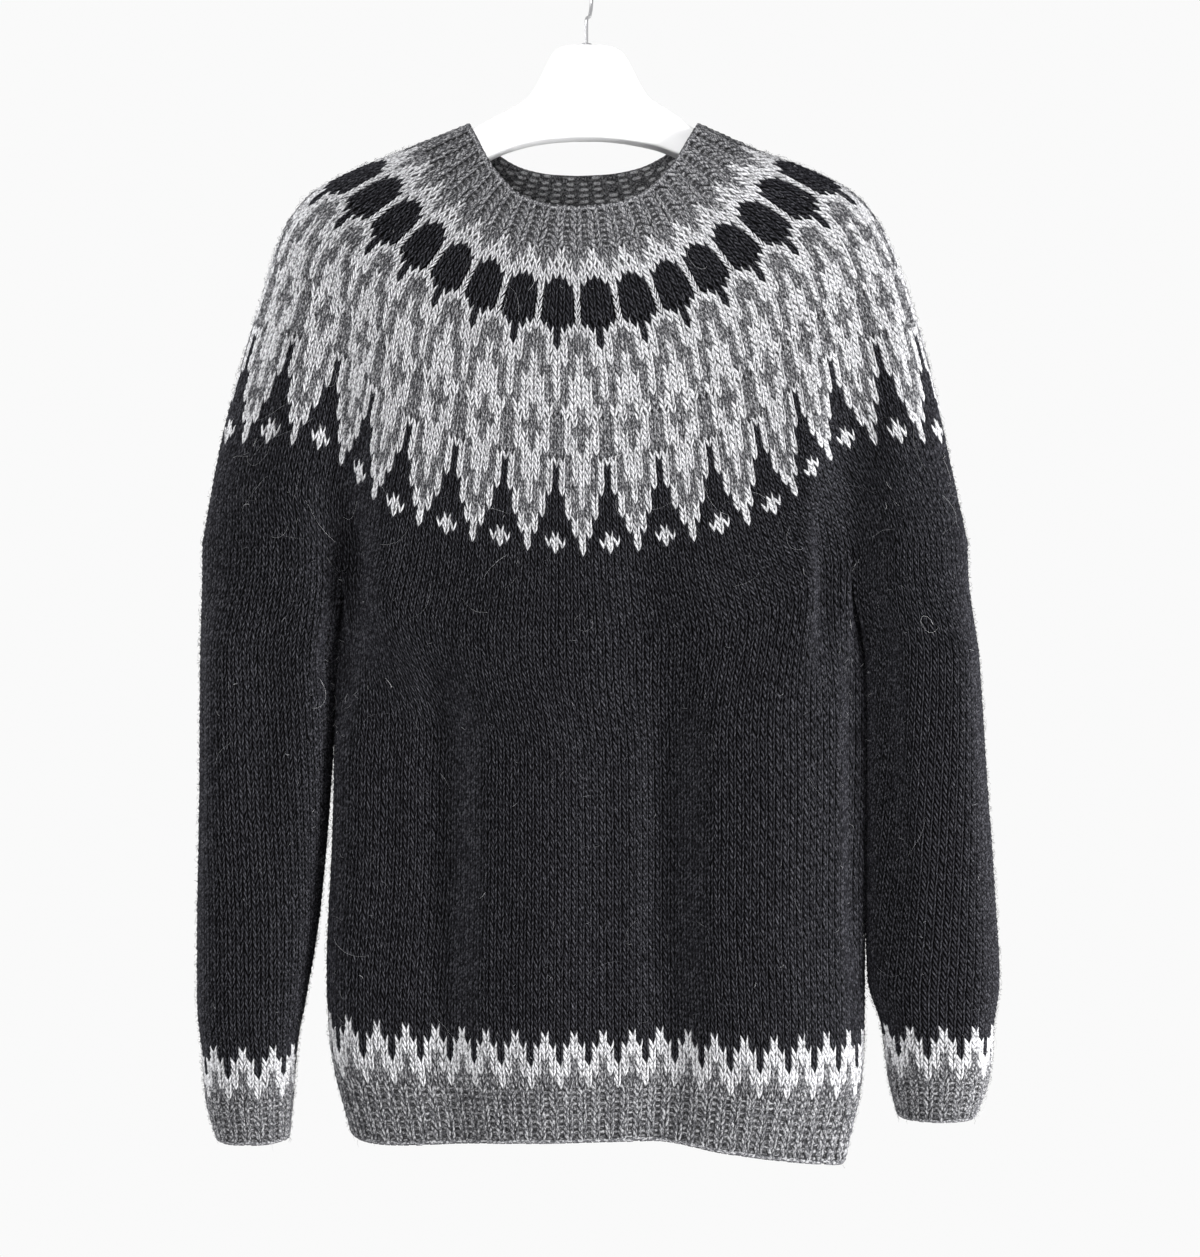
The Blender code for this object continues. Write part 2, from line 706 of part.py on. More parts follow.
def hook_route():
    """Points along the hook's wire: up the shank, round the crown, to the tip."""
    centre = -HOOK_RADIUS
    reach = HOOK_RADIUS + WIRE / 2
    route = [(0.0, SHANK_FOOT + SEAM_GAP), (0.0, SHANK_TOP)]
    joint = (reach * cos(radians(BEND_START)), centre + reach * sin(radians(BEND_START)))
    for step in range(1, BEND_STEPS):
        share = step / BEND_STEPS
        along = joint[0] * ease(share)
        route.append((along, SHANK_TOP + (joint[1] - SHANK_TOP) * share))
    for step in range(HOOK_STEPS + 1):
        angle = BEND_START + (HOOK_TIP_ANGLE - BEND_START) * step / HOOK_STEPS
        route.append(
            (reach * cos(radians(angle)), centre + reach * sin(radians(angle)))
        )
    turn = radians(HOOK_TURN)
    return [(out * cos(turn) * MM, out * sin(turn) * MM, up * MM) for out, up in route]


def build_hook(material):
    curve = bpy.data.curves.new("hanger_hook", "CURVE")
    curve.dimensions = "3D"
    curve.bevel_depth = WIRE / 2 * MM
    curve.bevel_resolution = 2
    curve.use_fill_caps = True
    route = hook_route()
    spline = curve.splines.new("POLY")
    spline.points.add(len(route) - 1)
    for point, place in zip(spline.points, route):
        point.co = (*place, 1)
    curve.materials.append(material)
    parts.objects.link(bpy.data.objects.new("hanger_hook", curve))


def finish(name, colour, roughness, metallic=0.0):
    material = bpy.data.materials.new(name)
    material.use_nodes = True
    shader = material.node_tree.nodes["Principled BSDF"]
    shader.inputs["Base Color"].default_value = (*colour, 1)
    shader.inputs["Roughness"].default_value = roughness
    shader.inputs["Metallic"].default_value = metallic
    return material


for leftover in list(bpy.data.objects):
    bpy.data.objects.remove(leftover)
parts = bpy.data.collections.new("nordic_yoke_sweater")
bpy.context.scene.collection.children.link(parts)

black_wool = finish("black_wool", (0.012, 0.012, 0.014), 0.95)
grey_wool = finish("grey_wool", (0.13, 0.13, 0.135), 0.95)
light_wool = finish("light_wool", (0.34, 0.34, 0.35), 0.95)
white_plastic = finish("white_plastic", (0.86, 0.86, 0.86), 0.35)
steel = finish("steel", (0.62, 0.62, 0.64), 0.3, metallic=1.0)

build_yoke(light_wool, grey_wool)
build_body(black_wool, grey_wool)
build_sleeve(True, black_wool, grey_wool)
build_sleeve(False, black_wool, grey_wool)
build_hanger(white_plastic)
build_hook(steel)
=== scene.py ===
# Looks of the nordic yoke sweater on its hanger.
#
# X runs to the right, Y to the back, Z up. Sizes are in millimetres, and places
# on the knitting are in rows and stitches, as in the part's own source.

from collections import namedtuple
from functools import lru_cache
from math import cos, pi, radians, sin

import bmesh
import bpy
import numpy as np
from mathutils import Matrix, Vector


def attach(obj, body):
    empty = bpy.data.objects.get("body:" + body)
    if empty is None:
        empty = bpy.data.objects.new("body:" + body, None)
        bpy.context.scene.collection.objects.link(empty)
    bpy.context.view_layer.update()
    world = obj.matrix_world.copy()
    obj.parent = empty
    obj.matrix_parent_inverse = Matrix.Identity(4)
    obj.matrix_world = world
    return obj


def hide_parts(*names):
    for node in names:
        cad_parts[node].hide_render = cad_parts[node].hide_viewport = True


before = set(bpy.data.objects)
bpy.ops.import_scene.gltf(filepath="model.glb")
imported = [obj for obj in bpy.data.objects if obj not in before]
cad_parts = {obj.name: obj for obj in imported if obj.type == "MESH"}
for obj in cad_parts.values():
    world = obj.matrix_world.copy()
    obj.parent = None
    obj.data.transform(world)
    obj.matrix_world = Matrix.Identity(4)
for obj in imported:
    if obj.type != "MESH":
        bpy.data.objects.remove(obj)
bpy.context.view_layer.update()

MM = 0.001


def named_rows(kind, *rows):
    """The rows of a table, whose places have the names of their kind."""
    return tuple(kind(*row) for row in rows)


# Camera and studio
CAMERA_PLACE = (9.7, -2260, -477.2)
CAMERA_LENS = 94.96
SENSOR = 36
WALL_WHITE = (0.955, 0.955, 0.955)
ROOM_LIGHT = 0.12
Lamp = namedtuple("Lamp", "name place size power")
LAMPS = named_rows(
    Lamp,
    ("key_light", (1900, -1350, -1400), 0.9, 160),
    ("right_light", (3200, 250, -1000), 1.6, 70),
    ("left_light", (-3200, 450, 0), 1.6, 60),
    ("high_light", (-1300, -1900, 1600), 1.6, 80),
    ("front_light", (-400, -2350, -330), 1.2, 22),
)
LAMP_AIM = (0, 0, -450)
FLOOR_HEIGHT = -1500
FLOOR_RADIUS = 2800
FLOOR_SIDES = 96

# Knitted fabric
WALL = 3.5
CORNER_SLACK = 2.8
ROW_HEIGHT = 4.17
STITCH_WIDTH = 5.3
UNDER_STITCHES = 1.6

# Stitches in a round
YOKE_STITCHES = 256
BODY_STITCHES = 168
SLEEVE_STITCHES = 60
CUFF_STITCHES = 40
NECK_STITCHES = 96
REPEATS = 32
HALF_BACK = 38
SLEEVE_ARC = 52
UNDERARM = 8

# Rows, counted down from the neck edge in the yoke and from the join below it
NECKBAND_ROWS = 8
TIP_ROW = 60
YOKE_ROWS = 75
BODY_CHART_ROW = 66
BODY_ROWS = 75
HEM_ROWS = 84
SLEEVE_CHART_ROW = 83
SLEEVE_ROWS = 92
CUFF_ROWS = 100
UNEVEN_ROWS = 22
JOIN_ROWS = 20
FOLD_EASE = 2.5
UNDERARM_OUT = 4.0
UNDERARM_DROP = 5.0
RING_SAMPLES = 1440
GRID_STEP = 0.5

# Cuts by node: stitches all round at the widest and the narrowest end, rows, and
# what the piece hangs from. The neckband's ribs pull its stitches together.
Cut = namedtuple("Cut", "widest narrowest rows hangs_from")
CUTS = {
    "neckband": Cut(NECK_STITCHES, NECK_STITCHES, NECKBAND_ROWS, "hanger"),
    "yoke": Cut(YOKE_STITCHES, NECK_STITCHES, YOKE_ROWS - NECKBAND_ROWS, "hanger"),
    "body": Cut(BODY_STITCHES, BODY_STITCHES, BODY_ROWS, "yoke"),
    "hem_rib": Cut(BODY_STITCHES, BODY_STITCHES, HEM_ROWS - BODY_ROWS, "body"),
    "sleeve_left": Cut(SLEEVE_STITCHES, CUFF_STITCHES, SLEEVE_ROWS, "yoke"),
    "sleeve_right": Cut(SLEEVE_STITCHES, CUFF_STITCHES, SLEEVE_ROWS, "yoke"),
    "cuff_left": Cut(CUFF_STITCHES, CUFF_STITCHES, CUFF_ROWS - SLEEVE_ROWS, "sleeve_left"),
    "cuff_right": Cut(CUFF_STITCHES, CUFF_STITCHES, CUFF_ROWS - SLEEVE_ROWS, "sleeve_right"),
}

# Colours in the charts: b black, m mid grey, l light grey, and s for a light
# grey stitch that the black ones on both sides of it squeeze
YARNS = "bmls"
BLACK, MID_GREY, LIGHT_GREY, SQUEEZED_GREY = range(len(YARNS))

# One repeat of the yoke from the tips of the points up, from the middle of a
# point outward, with the number of rounds that each line is worked for
YOKE_CHART = (
    (1, "lbbblbbb"),
    (1, "lbblllbb"),
    (1, "lbbblbbb"),
    (1, "llbbbbbl"),
    (2, "mlbbbbbl"),
    (2, "mmlbbblm"),
    (2, "lmlbbblm"),
    (2, "lmmlblmm"),
    (3, "llmlblml"),
    (1, "llmlllml"),
    (1, "llmmmml"),
    (3, "mllmmll"),
    (2, "mmlmmlm"),
    (1, "mllmmll"),
    (2, "mllmll"),
    (1, "llmmml"),
    (4, "llmlml"),
    (2, "lmmlmm"),
    (2, "lmlllm"),
    (1, "mmlllm"),
    (2, "mmlblm"),
    (1, "mllbll"),
    (1, "llbbbl"),
    (5, "sbbbb"),
    (2, "lbbbb"),
    (1, "llbbl"),
    (1, "lllll"),
    (1, "mllll"),
    (1, "mlll"),
    (2, "mmlm"),
)

# The border above the ribs of the hem and the cuffs, from the top down
BORDER_CHART = (
    (2, "lbbb"),
    (2, "llbl"),
    (1, "mlbl"),
    (2, "mlll"),
    (2, "mmlm"),
)
HEM_CHART_START = 1
CUFF_CHART_START = 2

# A stitch under the arm is left out where it would be narrower than this
LEAST_STITCH = 0.4

# The rounds of the yoke. Reaches are measured from the middle, heights from
# the hook. The last three heights are shares of the way from the middle of
# the round to its side, at a quarter, half and three quarters of the reach.
YokeRound = namedtuple(
    "YokeRound",
    "row middle left right side front back front_depth back_depth "
    "square valley quarter half three_quarters",
)
YOKE_ROUNDS = named_rows(
    YokeRound,
    (0, -7, 76, 86, -117.5, -182, -147, 48, 50, 1.00, 0.00, 0.03, 0.14, 0.44),
    (8, -7, 115, 121, -133, -214, -181, 54, 54, 1.00, 0.00, 0.04, 0.19, 0.50),
    (18, -6, 165, 172, -153, -256, -222, 58, 58, 1.00, 0.00, 0.06, 0.25, 0.56),
    (24, -5, 193, 198, -169, -281, -247, 60, 59, 0.98, 0.00, 0.07, 0.27, 0.60),
    (30, -4, 213, 217, -196, -305, -272, 61, 60, 0.94, 0.04, 0.07, 0.29, 0.66),
    (40, -3, 229, 234, -244, -346, -313, 62, 60, 0.88, 0.12, 0.08, 0.30, 0.77),
    (50, -3, 244, 248, -295, -387, -354, 63, 60, 0.84, 0.22, 0.09, 0.31, 0.88),
    (60, -2, 258, 258, -346, -427, -395, 63, 60, 0.80, 0.34, 0.10, 0.33, 0.96),
    (75, 0, 273, 271, -416, -489, -457, 62, 60, 0.76, 0.50, 0.10, 0.38, 0.95),
)
VALLEY_LEFT = -172
VALLEY_RIGHT = 187
VALLEY_WIDTH = 36

# The rounds of the body below the join
BodyRound = namedtuple("BodyRound", "row middle left right front back square")
BODY_ROUNDS = named_rows(
    BodyRound,
    (0, 2, 178, 188, 60, 58, 0.74),
    (16, 6, 183, 192, 60, 58, 0.74),
    (40, 7, 187, 191, 60, 58, 0.76),
    (60, 7, 191, 191, 60, 58, 0.78),
    (70, 7, 189, 190, 60, 57, 0.80),
    (84, 7, 174, 177, 57, 54, 0.84),
)

# Height of the hem's edge round the body, by stitch from the centre back
HemEdge = namedtuple("HemEdge", "stitch height")
HEM_EDGE = named_rows(
    HemEdge,
    (0, -828),
    (40, -834),
    (52, -839),
    (70, -835),
    (92, -834),
    (104, -843),
    (118, -853),
    (124, -856),
    (136, -845),
    (168, -828),
)

# The rounds of the two sleeves. Outer and inner are distances from the
# middle of the body, and height is the height of the whole round.
SleeveRound = namedtuple("SleeveRound", "row outer inner front back height square")
LEFT_SLEEVE_ROUNDS = named_rows(
    SleeveRound,
    (0, 273, 178, 45, 46, -425, 0.86),
    (16, 274.5, 178.6, 45, 46, -492, 0.88),
    (40, 275.5, 183.5, 42, 43, -593, 0.92),
    (60, 277, 190.5, 38, 38, -677, 0.95),
    (75, 277, 201, 37, 37, -742, 0.95),
    (83, 274, 207, 37, 36, -774, 0.95),
    (92, 271, 210, 35, 35, -809, 0.95),
    (100, 263, 213, 34, 33, -840, 0.95),
)
RIGHT_SLEEVE_ROUNDS = named_rows(
    SleeveRound,
    (0, 271, 192, 44, 45, -425, 0.84),
    (16, 278, 199, 45, 46, -490, 0.88),
    (40, 285, 199.6, 43, 43, -587, 0.92),
    (60, 291, 199.6, 38, 38, -668, 0.95),
    (75, 294, 201.5, 37, 37, -728, 0.95),
    (83, 290, 211, 37, 36, -760, 0.95),
    (92, 287, 216, 36, 35, -795, 0.95),
    (100, 277, 223, 34, 33, -824, 0.95),
)

# Folds and creases. Stitch is where a fold runs at its top and bottom row, width
# is half its breadth in stitches, and a trough has a negative rise.
Fold = namedtuple("Fold", "stitch_top stitch_low width row_top row_low rise")
YOKE_FOLDS = named_rows(
    Fold,
    (136.5, 136, 9, 48, 98, -13),
    (106, 106, 9, 52, 98, -8),
    (18, 16, 10, 50, 100, -5),
    (240, 242, 10, 50, 100, -5),
    (91, 91, 4, 62, 92, -13),
    (165.5, 165.5, 4, 60, 96, -8),
)
BODY_FOLDS = named_rows(
    Fold,
    (77, 77, 11, -40, 104, 7),
    (88, 88, 12, -60, 110, -11),
    (94, 94, 6.5, -60, 110, -19),
    (107.5, 107.5, 11, -30, 104, 8),
    (57, 57, 11, -60, 110, -9),
    (63, 63, 6.5, -60, 110, -17),
    (42, 42, 8, -20, 34, 2.5),
    (126, 126, 8, -20, 62, 2.4),
    (47.5, 46, 4, -14, 28, -14),
    (120.5, 122, 4, -14, 80, -8),
    (49, 49, 7, -10, 110, 4),
    (16, 14, 11, -16, 100, -13),
    (152, 155, 11, -16, 100, -13),
    (0, 0, 10, -20, 104, 5),
    (168, 168, 10, -20, 104, 5),
)
LEFT_SLEEVE_FOLDS = named_rows(
    Fold,
    (45, 46, 6, -24, 60, -9),
    (37.5, 38.5, 6, -20, 110, 4),
    (34.5, 33, 3, 8, 66, -4),
    (55, 56, 4, -12, 24, -8),
    (14, 15, 6, -20, 90, -7),
)
RIGHT_SLEEVE_FOLDS = named_rows(
    Fold,
    (8, 8, 5, -20, 90, -5),
    (21, 20, 6, -20, 110, 3),
    (46, 46, 6, -20, 90, -7),
)

# Hanger: height of its top and of the front edge of its underside, and half
# its thickness, by X
HangerPlace = namedtuple("HangerPlace", "across top under half_thickness")
HANGER_PLACES = named_rows(
    HangerPlace,
    (-80, -121.2, -147, 11.0),
    (-70, -116.0, -142.2, 11.2),
    (-60, -110.8, -137.6, 11.5),
    (-47, -103.6, -133.2, 12.0),
    (-41, -99.2, -131.7, 12.0),
    (-34, -88, -130.4, 12.0),
    (-28, -76, -129.5, 12.0),
    (-23, -67, -129.0, 12.0),
    (-16, -63.0, -128.5, 12.0),
    (-8, -62.0, -128.0, 12.0),
    (8, -62.0, -128.0, 12.0),
    (17, -63.0, -128.6, 12.0),
    (25, -67, -129.5, 12.0),
    (31, -76, -130.4, 12.0),
    (37, -88, -131.5, 12.0),
    (44, -99.2, -133, 12.0),
    (50, -103.6, -134.5, 12.0),
    (62, -110.8, -139, 11.5),
    (76, -121.2, -145, 11.0),
)
SHARP_ANGLE = 35
UNDERSIDE_TILT = 0.2
HANGER_TOP_ROUND = 2.2
HANGER_LOW_ROUND = 1.8
CORNER_STEPS = 4
HANGER_STEP = 2.5
ARM_ROWS = (4, 8, 12, 16, 20, 24)
ARM_DEPTH = 25
ARM_END_DEPTH = 15
ARM_HALF = 9.0
ARM_END_HALF = 7.5
ARM_CLEARANCE = 0.35
ARM_TAPER = 6
CREST_SEARCH = 20
CREST_SAMPLES = 401

# Hook: a bent wire whose plane is turned away from the hanger's. It runs along
# the middle of the solid's wire and is drawn a little thinner.
WIRE = 3.2
WIRE_DRAWN = 2.6
WIRE_SIDES = 16
HOOK_RADIUS = 20
HOOK_TURN = 80
SHANK_TOP = -45
SHANK_FOOT = -61.7
BEND_START = -52
HOOK_TIP_ANGLE = 190
BEND_STEPS = 12
BEND_PULL = 6
HOOK_STEPS = 60
TIP_PLACES = (0.7, 1.2, 1.5)
TIP_SHARES = (0.9, 0.66, 0.25)

# Sections of the hook's turned collar: height and radius
CollarPlace = namedtuple("CollarPlace", "height radius")
COLLAR = named_rows(
    CollarPlace,
    (-61.7, 3.6),
    (-61.2, 4.0),
    (-60.2, 4.0),
    (-59.7, 3.6),
    (-59.4, 2.4),
    (-59.2, 1.7),
)

# Loose hairs and short fuzz: points along each, its length, how strongly it
# curls, how high it rises, and its thickness. Yarns are the shares of hairs in
# black, mid grey and light grey.
Hair = namedtuple("Hair", "points length curl rise thick yarns")
LONG_HAIR = Hair(12, (12, 36), 0.06, (1.0, 4.0), 0.07, (0.25, 0.5, 0.25))
SHORT_HAIR = Hair(3, (2.0, 6.5), 0.25, (0.8, 3.0), 0.11, (0.88, 0.1, 0.02))
HAIR_SIDES = 3
HAIR_FOOT = 0.3
HAIR_TAPER = 0.6
HAIR_ARCH = (0.55, 1.0)
SIDE_FUZZ_SHARE = 0.45
SIDE_SPREAD = 9

# Places in a hair's cell of the layout: where its strips start and how far they
# run, the width of the strip of one side, and the triangles of its two ends
STRIP_START = 0.05
STRIP_RUN = 0.9
STRIP_WIDTH = 0.25
END_PLACES = (
    ((0.85, 0.1), (0.95, 0.1), (0.9, 0.3)),
    ((0.85, 0.5), (0.95, 0.5), (0.9, 0.7)),
)

# The legs of a knitted stitch, each a leaf of wool. Across is in stitches out
# from the stitch's middle line, down in rows from the top of its row, and
# height in millimetres above the solid's surface. Each leaf has a tip, two
# rounds of inner edge, ridge and outer edge, and a tip. The left leg lies more
# across and stands prouder than the right one.
Leaf = namedtuple("Leaf", "across down height")
RIGHT_LEG = Leaf(
    (0.42, 0.19, 0.34, 0.49, 0.04, 0.225, 0.43, 0.07),
    (-1.0, -0.32, -0.36, -0.40, 0.42, 0.40, 0.34, 1.12),
    (-1.4, -1.3, 0.2, -1.2, -1.1, 0.7, -1.3, -0.3),
)
LEFT_LEG = Leaf(
    (0.53, 0.20, 0.40, 0.55, -0.10, 0.10, 0.31, 0.0),
    (-0.95, -0.42, -0.36, -0.22, 0.30, 0.42, 0.52, 1.14),
    (-1.4, -1.2, 0.5, -1.3, -1.1, 1.05, -1.3, -0.2),
)
SLIM_RIGHT_LEG = Leaf(
    (0.58, 0.26, 0.41, 0.53, -0.02, 0.13, 0.30, 0.0),
    (-0.85, -0.42, -0.34, -0.20, 0.42, 0.46, 0.46, 1.05),
    (-1.2, -1.0, 0.5, -1.0, -1.0, 0.8, -1.0, -0.3),
)
SLIM_LEFT_LEG = Leaf(
    (0.56, 0.22, 0.38, 0.52, -0.04, 0.12, 0.28, -0.02),
    (-0.75, -0.36, -0.30, -0.10, 0.36, 0.46, 0.56, 1.1),
    (-1.2, -1.0, 0.8, -1.0, -1.0, 1.1, -1.0, -0.2),
)

# The triangles of a leaf, which of its points are on the crest of the yarn, and
# their places in its cell of the layout. The crown is 0 on the leaf's edges and low at
# its tips, where the wool's colour is darkened with painted shade.
LEAF_TRIANGLES = ((0, 1, 2), (0, 2, 3), (1, 4, 5), (1, 5, 2), (2, 5, 6), (2, 6, 3), (4, 7, 5), (5, 7, 6))
CROWN = (0.1, 0.0, 1.0, 0.0, 0.0, 1.0, 0.0, 0.3)
LAYOUT_ACROSS = (0.5, 0.05, 0.5, 0.95, 0.05, 0.5, 0.95, 0.5)
LAYOUT_UP = (0.97, 0.66, 0.66, 0.66, 0.34, 0.34, 0.34, 0.03)

# How much the stitches differ: share of the width, stitches across, rows down,
# and share of the height
LOOSENESS = (0.05, 0.022, 0.07, 0.12)

# How much fuller and prouder each yarn lies, in the order of YARNS
FULLNESS = np.array([0.97, 1.03, 1.08, 0.74])
PROUDNESS = np.array([0.0, 0.05, 0.15, 0.1])

# One bump of a purl stitch, which lies across its column
PURL_BUMP = Leaf(
    (-0.62, -0.28, -0.25, -0.28, 0.28, 0.25, 0.28, 0.62),
    (0.45, 0.92, 0.5, 0.1, 0.92, 0.5, 0.1, 0.45),
    (-1.2, -1.0, 0.1, -1.0, -1.0, 0.1, -1.0, -1.2),
)

# The flatter bumps on the inside of the neckband
INSIDE_BUMP = Leaf(
    (-0.56, -0.34, -0.30, -0.34, 0.34, 0.30, 0.34, 0.56),
    (0.45, 0.86, 0.45, 0.1, 0.86, 0.45, 0.1, 0.45),
    (-1.0, -0.8, 0.4, -0.8, -0.8, 0.4, -0.8, -1.0),
)

# Leaves of the ribs: widths in stitches, and how far they lie off the surface in
# millimetres. The raised legs and the sunk bumps are moved by the ribs' relief, and the
# sunk bumps are darkened with painted shade that grows with the relief.
RIB_LEG_WIDTH = 1.42
RIB_LEG_RISE = 1.1
RIB_BUMP_SINK = 1.2
RIB_BUMP_PAINTED_SHADE = 0.75
INSIDE_BUMP_WIDTH = 1.2
INSIDE_BUMP_LIFT = 2.8
# Share of the inside bumps worn in light grey, as painted light for light showing through the rib, and
# the low crown of the gaps between them, a painted shade
INSIDE_PAINTED_LIGHT_SHARE = 0.9
INSIDE_GAP_WIDTH = 0.8
INSIDE_GAP_LIFT = 0.3
INSIDE_GAP_PAINTED_SHADE_CROWN = 0.3
EDGE_WIDTH = 1.35
EDGE_LIFT = 1.0
EDGE_INSIDE_LIFT = 0.4
EDGE_UP = 0.6

# Rows that the leaves may reach over and under the rows that are worked
OVER, UNDER = 1, 2
RIB_OVER, RIB_UNDER = 1.0, 1.3

# Each leaf and hair starts somewhere along a pattern of fibres of this length
FIBRE_RUN = 500

# Ribs: their rows, stitches in a round, columns of the ground and how many rows
# apart its inside is drawn, the row of the edge, and how far the ribs stand out
Rib = namedtuple("Rib", "rows count columns inner_every edge_row relief")
NECK_RIB = Rib((0, NECKBAND_ROWS), NECK_STITCHES, 2 * NECK_STITCHES, 2, 0, 0.55)
HEM_RIB = Rib((BODY_ROWS, HEM_ROWS), BODY_STITCHES, 2 * BODY_STITCHES, 3, HEM_ROWS - EDGE_UP, 0.4)
CUFF_EDGE = CUFF_ROWS - EDGE_UP
CUFF_RIB = Rib((SLEEVE_ROWS, CUFF_ROWS), CUFF_STITCHES, 2 * SLEEVE_STITCHES, 2, CUFF_EDGE, 0.4)

# The crown that the inside of a ground is shaded with. Its outside has a crown of 0, so
# the ground between the stitches takes the full painted shade of the gaps.
INSIDE_PAINTED_SHADE_CROWN = 0.8

Round = namedtuple("Round", "row colours numbers pitch start widths")
Cloth = namedtuple("Cloth", "points outward stitches")


def table_at(table, row):
    """The sizes of a round, read between the rows of its table."""
    rows = [place.row for place in table]
    columns = zip(*(place[1:] for place in table))
    return type(table[0])(row, *(smooth(rows, column, row) for column in columns))


def smooth(places, values, at):
    """Reads a smooth curve that passes through the values without overshooting."""
    places = np.asarray(places, float)
    values = np.asarray(values, float)
    step = np.diff(places)
    rise = np.diff(values) / step
    before, after = rise[:-1], rise[1:]
    together = np.where(before * after > 0, before + after, 1.0)
    slope = np.empty(len(values))
    slope[0], slope[-1] = rise[0], rise[-1]
    slope[1:-1] = np.where(before * after > 0, 2 * before * after / together, 0.0)
    cell = np.clip(np.searchsorted(places, at, side="right") - 1, 0, len(step) - 1)
    along = (at - places[cell]) / step[cell]
    back = 1 - along
    return (
        values[cell] * back**2 * (1 + 2 * along)
        + values[cell + 1] * along**2 * (1 + 2 * back)
        + step[cell] * along * back * (slope[cell] * back - slope[cell + 1] * along)
    )


def ease(share):
    """Goes from 0 to 1 with a soft start and end."""
    share = np.clip(share, 0, 1)
    return share * share * (3 - 2 * share)


def lobe(distance):
    """One soft hump, 1 in the middle and 0 from a distance of 1."""
    return np.where(np.abs(distance) < 1, 0.5 + 0.5 * np.cos(pi * distance), 0.0)


def plan_normals(ring):
    """Level directions out of a round that runs anticlockwise, seen from above."""
    along = np.roll(ring, -1, axis=0) - np.roll(ring, 1, axis=0)
    outward = np.stack([along[:, 1], -along[:, 0], 0 * along[:, 0]], axis=1)
    return outward / np.linalg.norm(outward, axis=1)[:, None]


def shares_of_length(ring):
    """How far round a ring each sample lies, where its middle sample is half way."""
    steps = np.linalg.norm(np.diff(ring, axis=0), axis=1)
    walked = np.concatenate([[0], np.cumsum(steps)])
    half = walked[RING_SAMPLES // 2]
    first = 0.5 * walked / half
    second = 0.5 + 0.5 * (walked - half) / (walked[-1] - half)
    return np.where(walked <= half, first, second)


def folded(ring, folds, row, stitches):
    """Moves a ring's samples out on ridges and in at troughs."""
    place = shares_of_length(ring) * stitches
    rise = np.zeros(len(ring))
    for fold in folds:
        down = (row - fold.row_top) / (fold.row_low - fold.row_top)
        if 0 < down < 1:
            strength = fold.rise * ease(FOLD_EASE * down) * ease(FOLD_EASE * (1 - down))
            centre = fold.stitch_top + (fold.stitch_low - fold.stitch_top) * down
            rise += strength * lobe((place - centre) / fold.width)
    normals = plan_normals(ring[:-1])
    normals = np.vstack([normals, normals[:1]])
    return ring + normals * rise[:, None]


def at_shares(ring, shares):
    """Points on a ring at the given shares of its length."""
    walked = shares_of_length(ring)
    shares = np.mod(shares, 1.0)
    return np.stack([np.interp(shares, walked, axis) for axis in ring.T], axis=1)


def turns():
    """Angles round a tube, from the centre back over the left side."""
    return np.linspace(0, 2 * pi, RING_SAMPLES + 1)


def squared_round(size, front, back):
    """X and Y of a round that is squared off, and how far out each sample spreads."""
    turn = turns()
    spread = np.abs(np.sin(turn)) ** size.square
    reach = np.where(np.sin(turn) > 0, -size.left, size.right)
    depth = np.where(np.cos(turn) > 0, back, -front)
    return size.middle + reach * spread, depth * np.abs(np.cos(turn)) ** size.square, spread


@lru_cache(maxsize=None)
def yoke_ring(row):
    """A dense ring of one yoke round."""
    size = table_at(YOKE_ROUNDS, row)
    x, y, spread = squared_round(size, size.front_depth, size.back_depth)
    y *= 1 - size.valley * lobe((x - VALLEY_LEFT) / VALLEY_WIDTH)
    y *= 1 - size.valley * lobe((x - VALLEY_RIGHT) / VALLEY_WIDTH)
    shares = (0, 0.25, 0.5, 0.75, 1)
    heights = (0, size.quarter, size.half, size.three_quarters, 1)
    rise = smooth(shares, heights, spread)
    middle = np.where(y > 0, size.back, size.front)
    z = middle + (size.side - middle) * rise
    return folded(np.stack([x, y, z], axis=1), YOKE_FOLDS, row, YOKE_STITCHES)


@lru_cache
def join_stitches():
    """Yoke stitches at which the join's stretches meet, and their shares of length."""
    size = YOKE_ROUNDS[-1]
    left = ((size.middle - VALLEY_LEFT) / size.left) ** (1 / size.square)
    right = ((VALLEY_RIGHT - size.middle) / size.right) ** (1 / size.square)
    corners = (
        0,
        np.arcsin(left),
        pi / 2,
        pi - np.arcsin(left),
        pi,
        pi + np.arcsin(right),
        pi * 1.5,
        2 * pi - np.arcsin(right),
        2 * pi,
    )
    shares = np.interp(corners, turns(), shares_of_length(yoke_ring(YOKE_ROWS)))
    quarter = YOKE_STITCHES / 4
    half_sleeve = SLEEVE_ARC / 2
    stitches = [0]
    for crest in (quarter, 3 * quarter):
        stitches += [crest - half_sleeve, crest, crest + half_sleeve, crest + quarter]
    return stitches, shares


def yoke_points(row, stitch):
    """Points of the yoke's outside at one row, by stitch from the centre back."""
    stitch = np.mod(stitch, YOKE_STITCHES)
    ring = yoke_ring(row)
    quarters = np.linspace(0, 1, 5)
    turned = shares_of_length(ring)[(quarters * RING_SAMPLES).astype(int)]
    even = np.interp(stitch / YOKE_STITCHES, quarters, turned)
    joined = np.interp(stitch, *join_stitches())
    near_join = ease((row - (YOKE_ROWS - UNEVEN_ROWS)) / UNEVEN_ROWS)
    return at_shares(ring, even + (joined - even) * near_join)


def underarm(left_side, share):
    """The grafted edge under an arm, from its back end to its front end."""
    first = HALF_BACK if left_side else YOKE_STITCHES - HALF_BACK
    last = HALF_BACK + SLEEVE_ARC if left_side else first - SLEEVE_ARC
    back_end, front_end = yoke_points(YOKE_ROWS, np.array([first, last], float))
    share = np.asarray(share, float)[:, None]
    outward = -1 if left_side else 1
    sag = np.sin(pi * share) * np.array([outward * UNDERARM_OUT, 0.0, -UNDERARM_DROP])
    ends = np.isclose(share, 0) | np.isclose(share, 1)
    slack = np.where(ends, CORNER_SLACK, 0.0) * np.array([0.0, 0.0, -1.0])
    return back_end + (front_end - back_end) * share + sag + slack


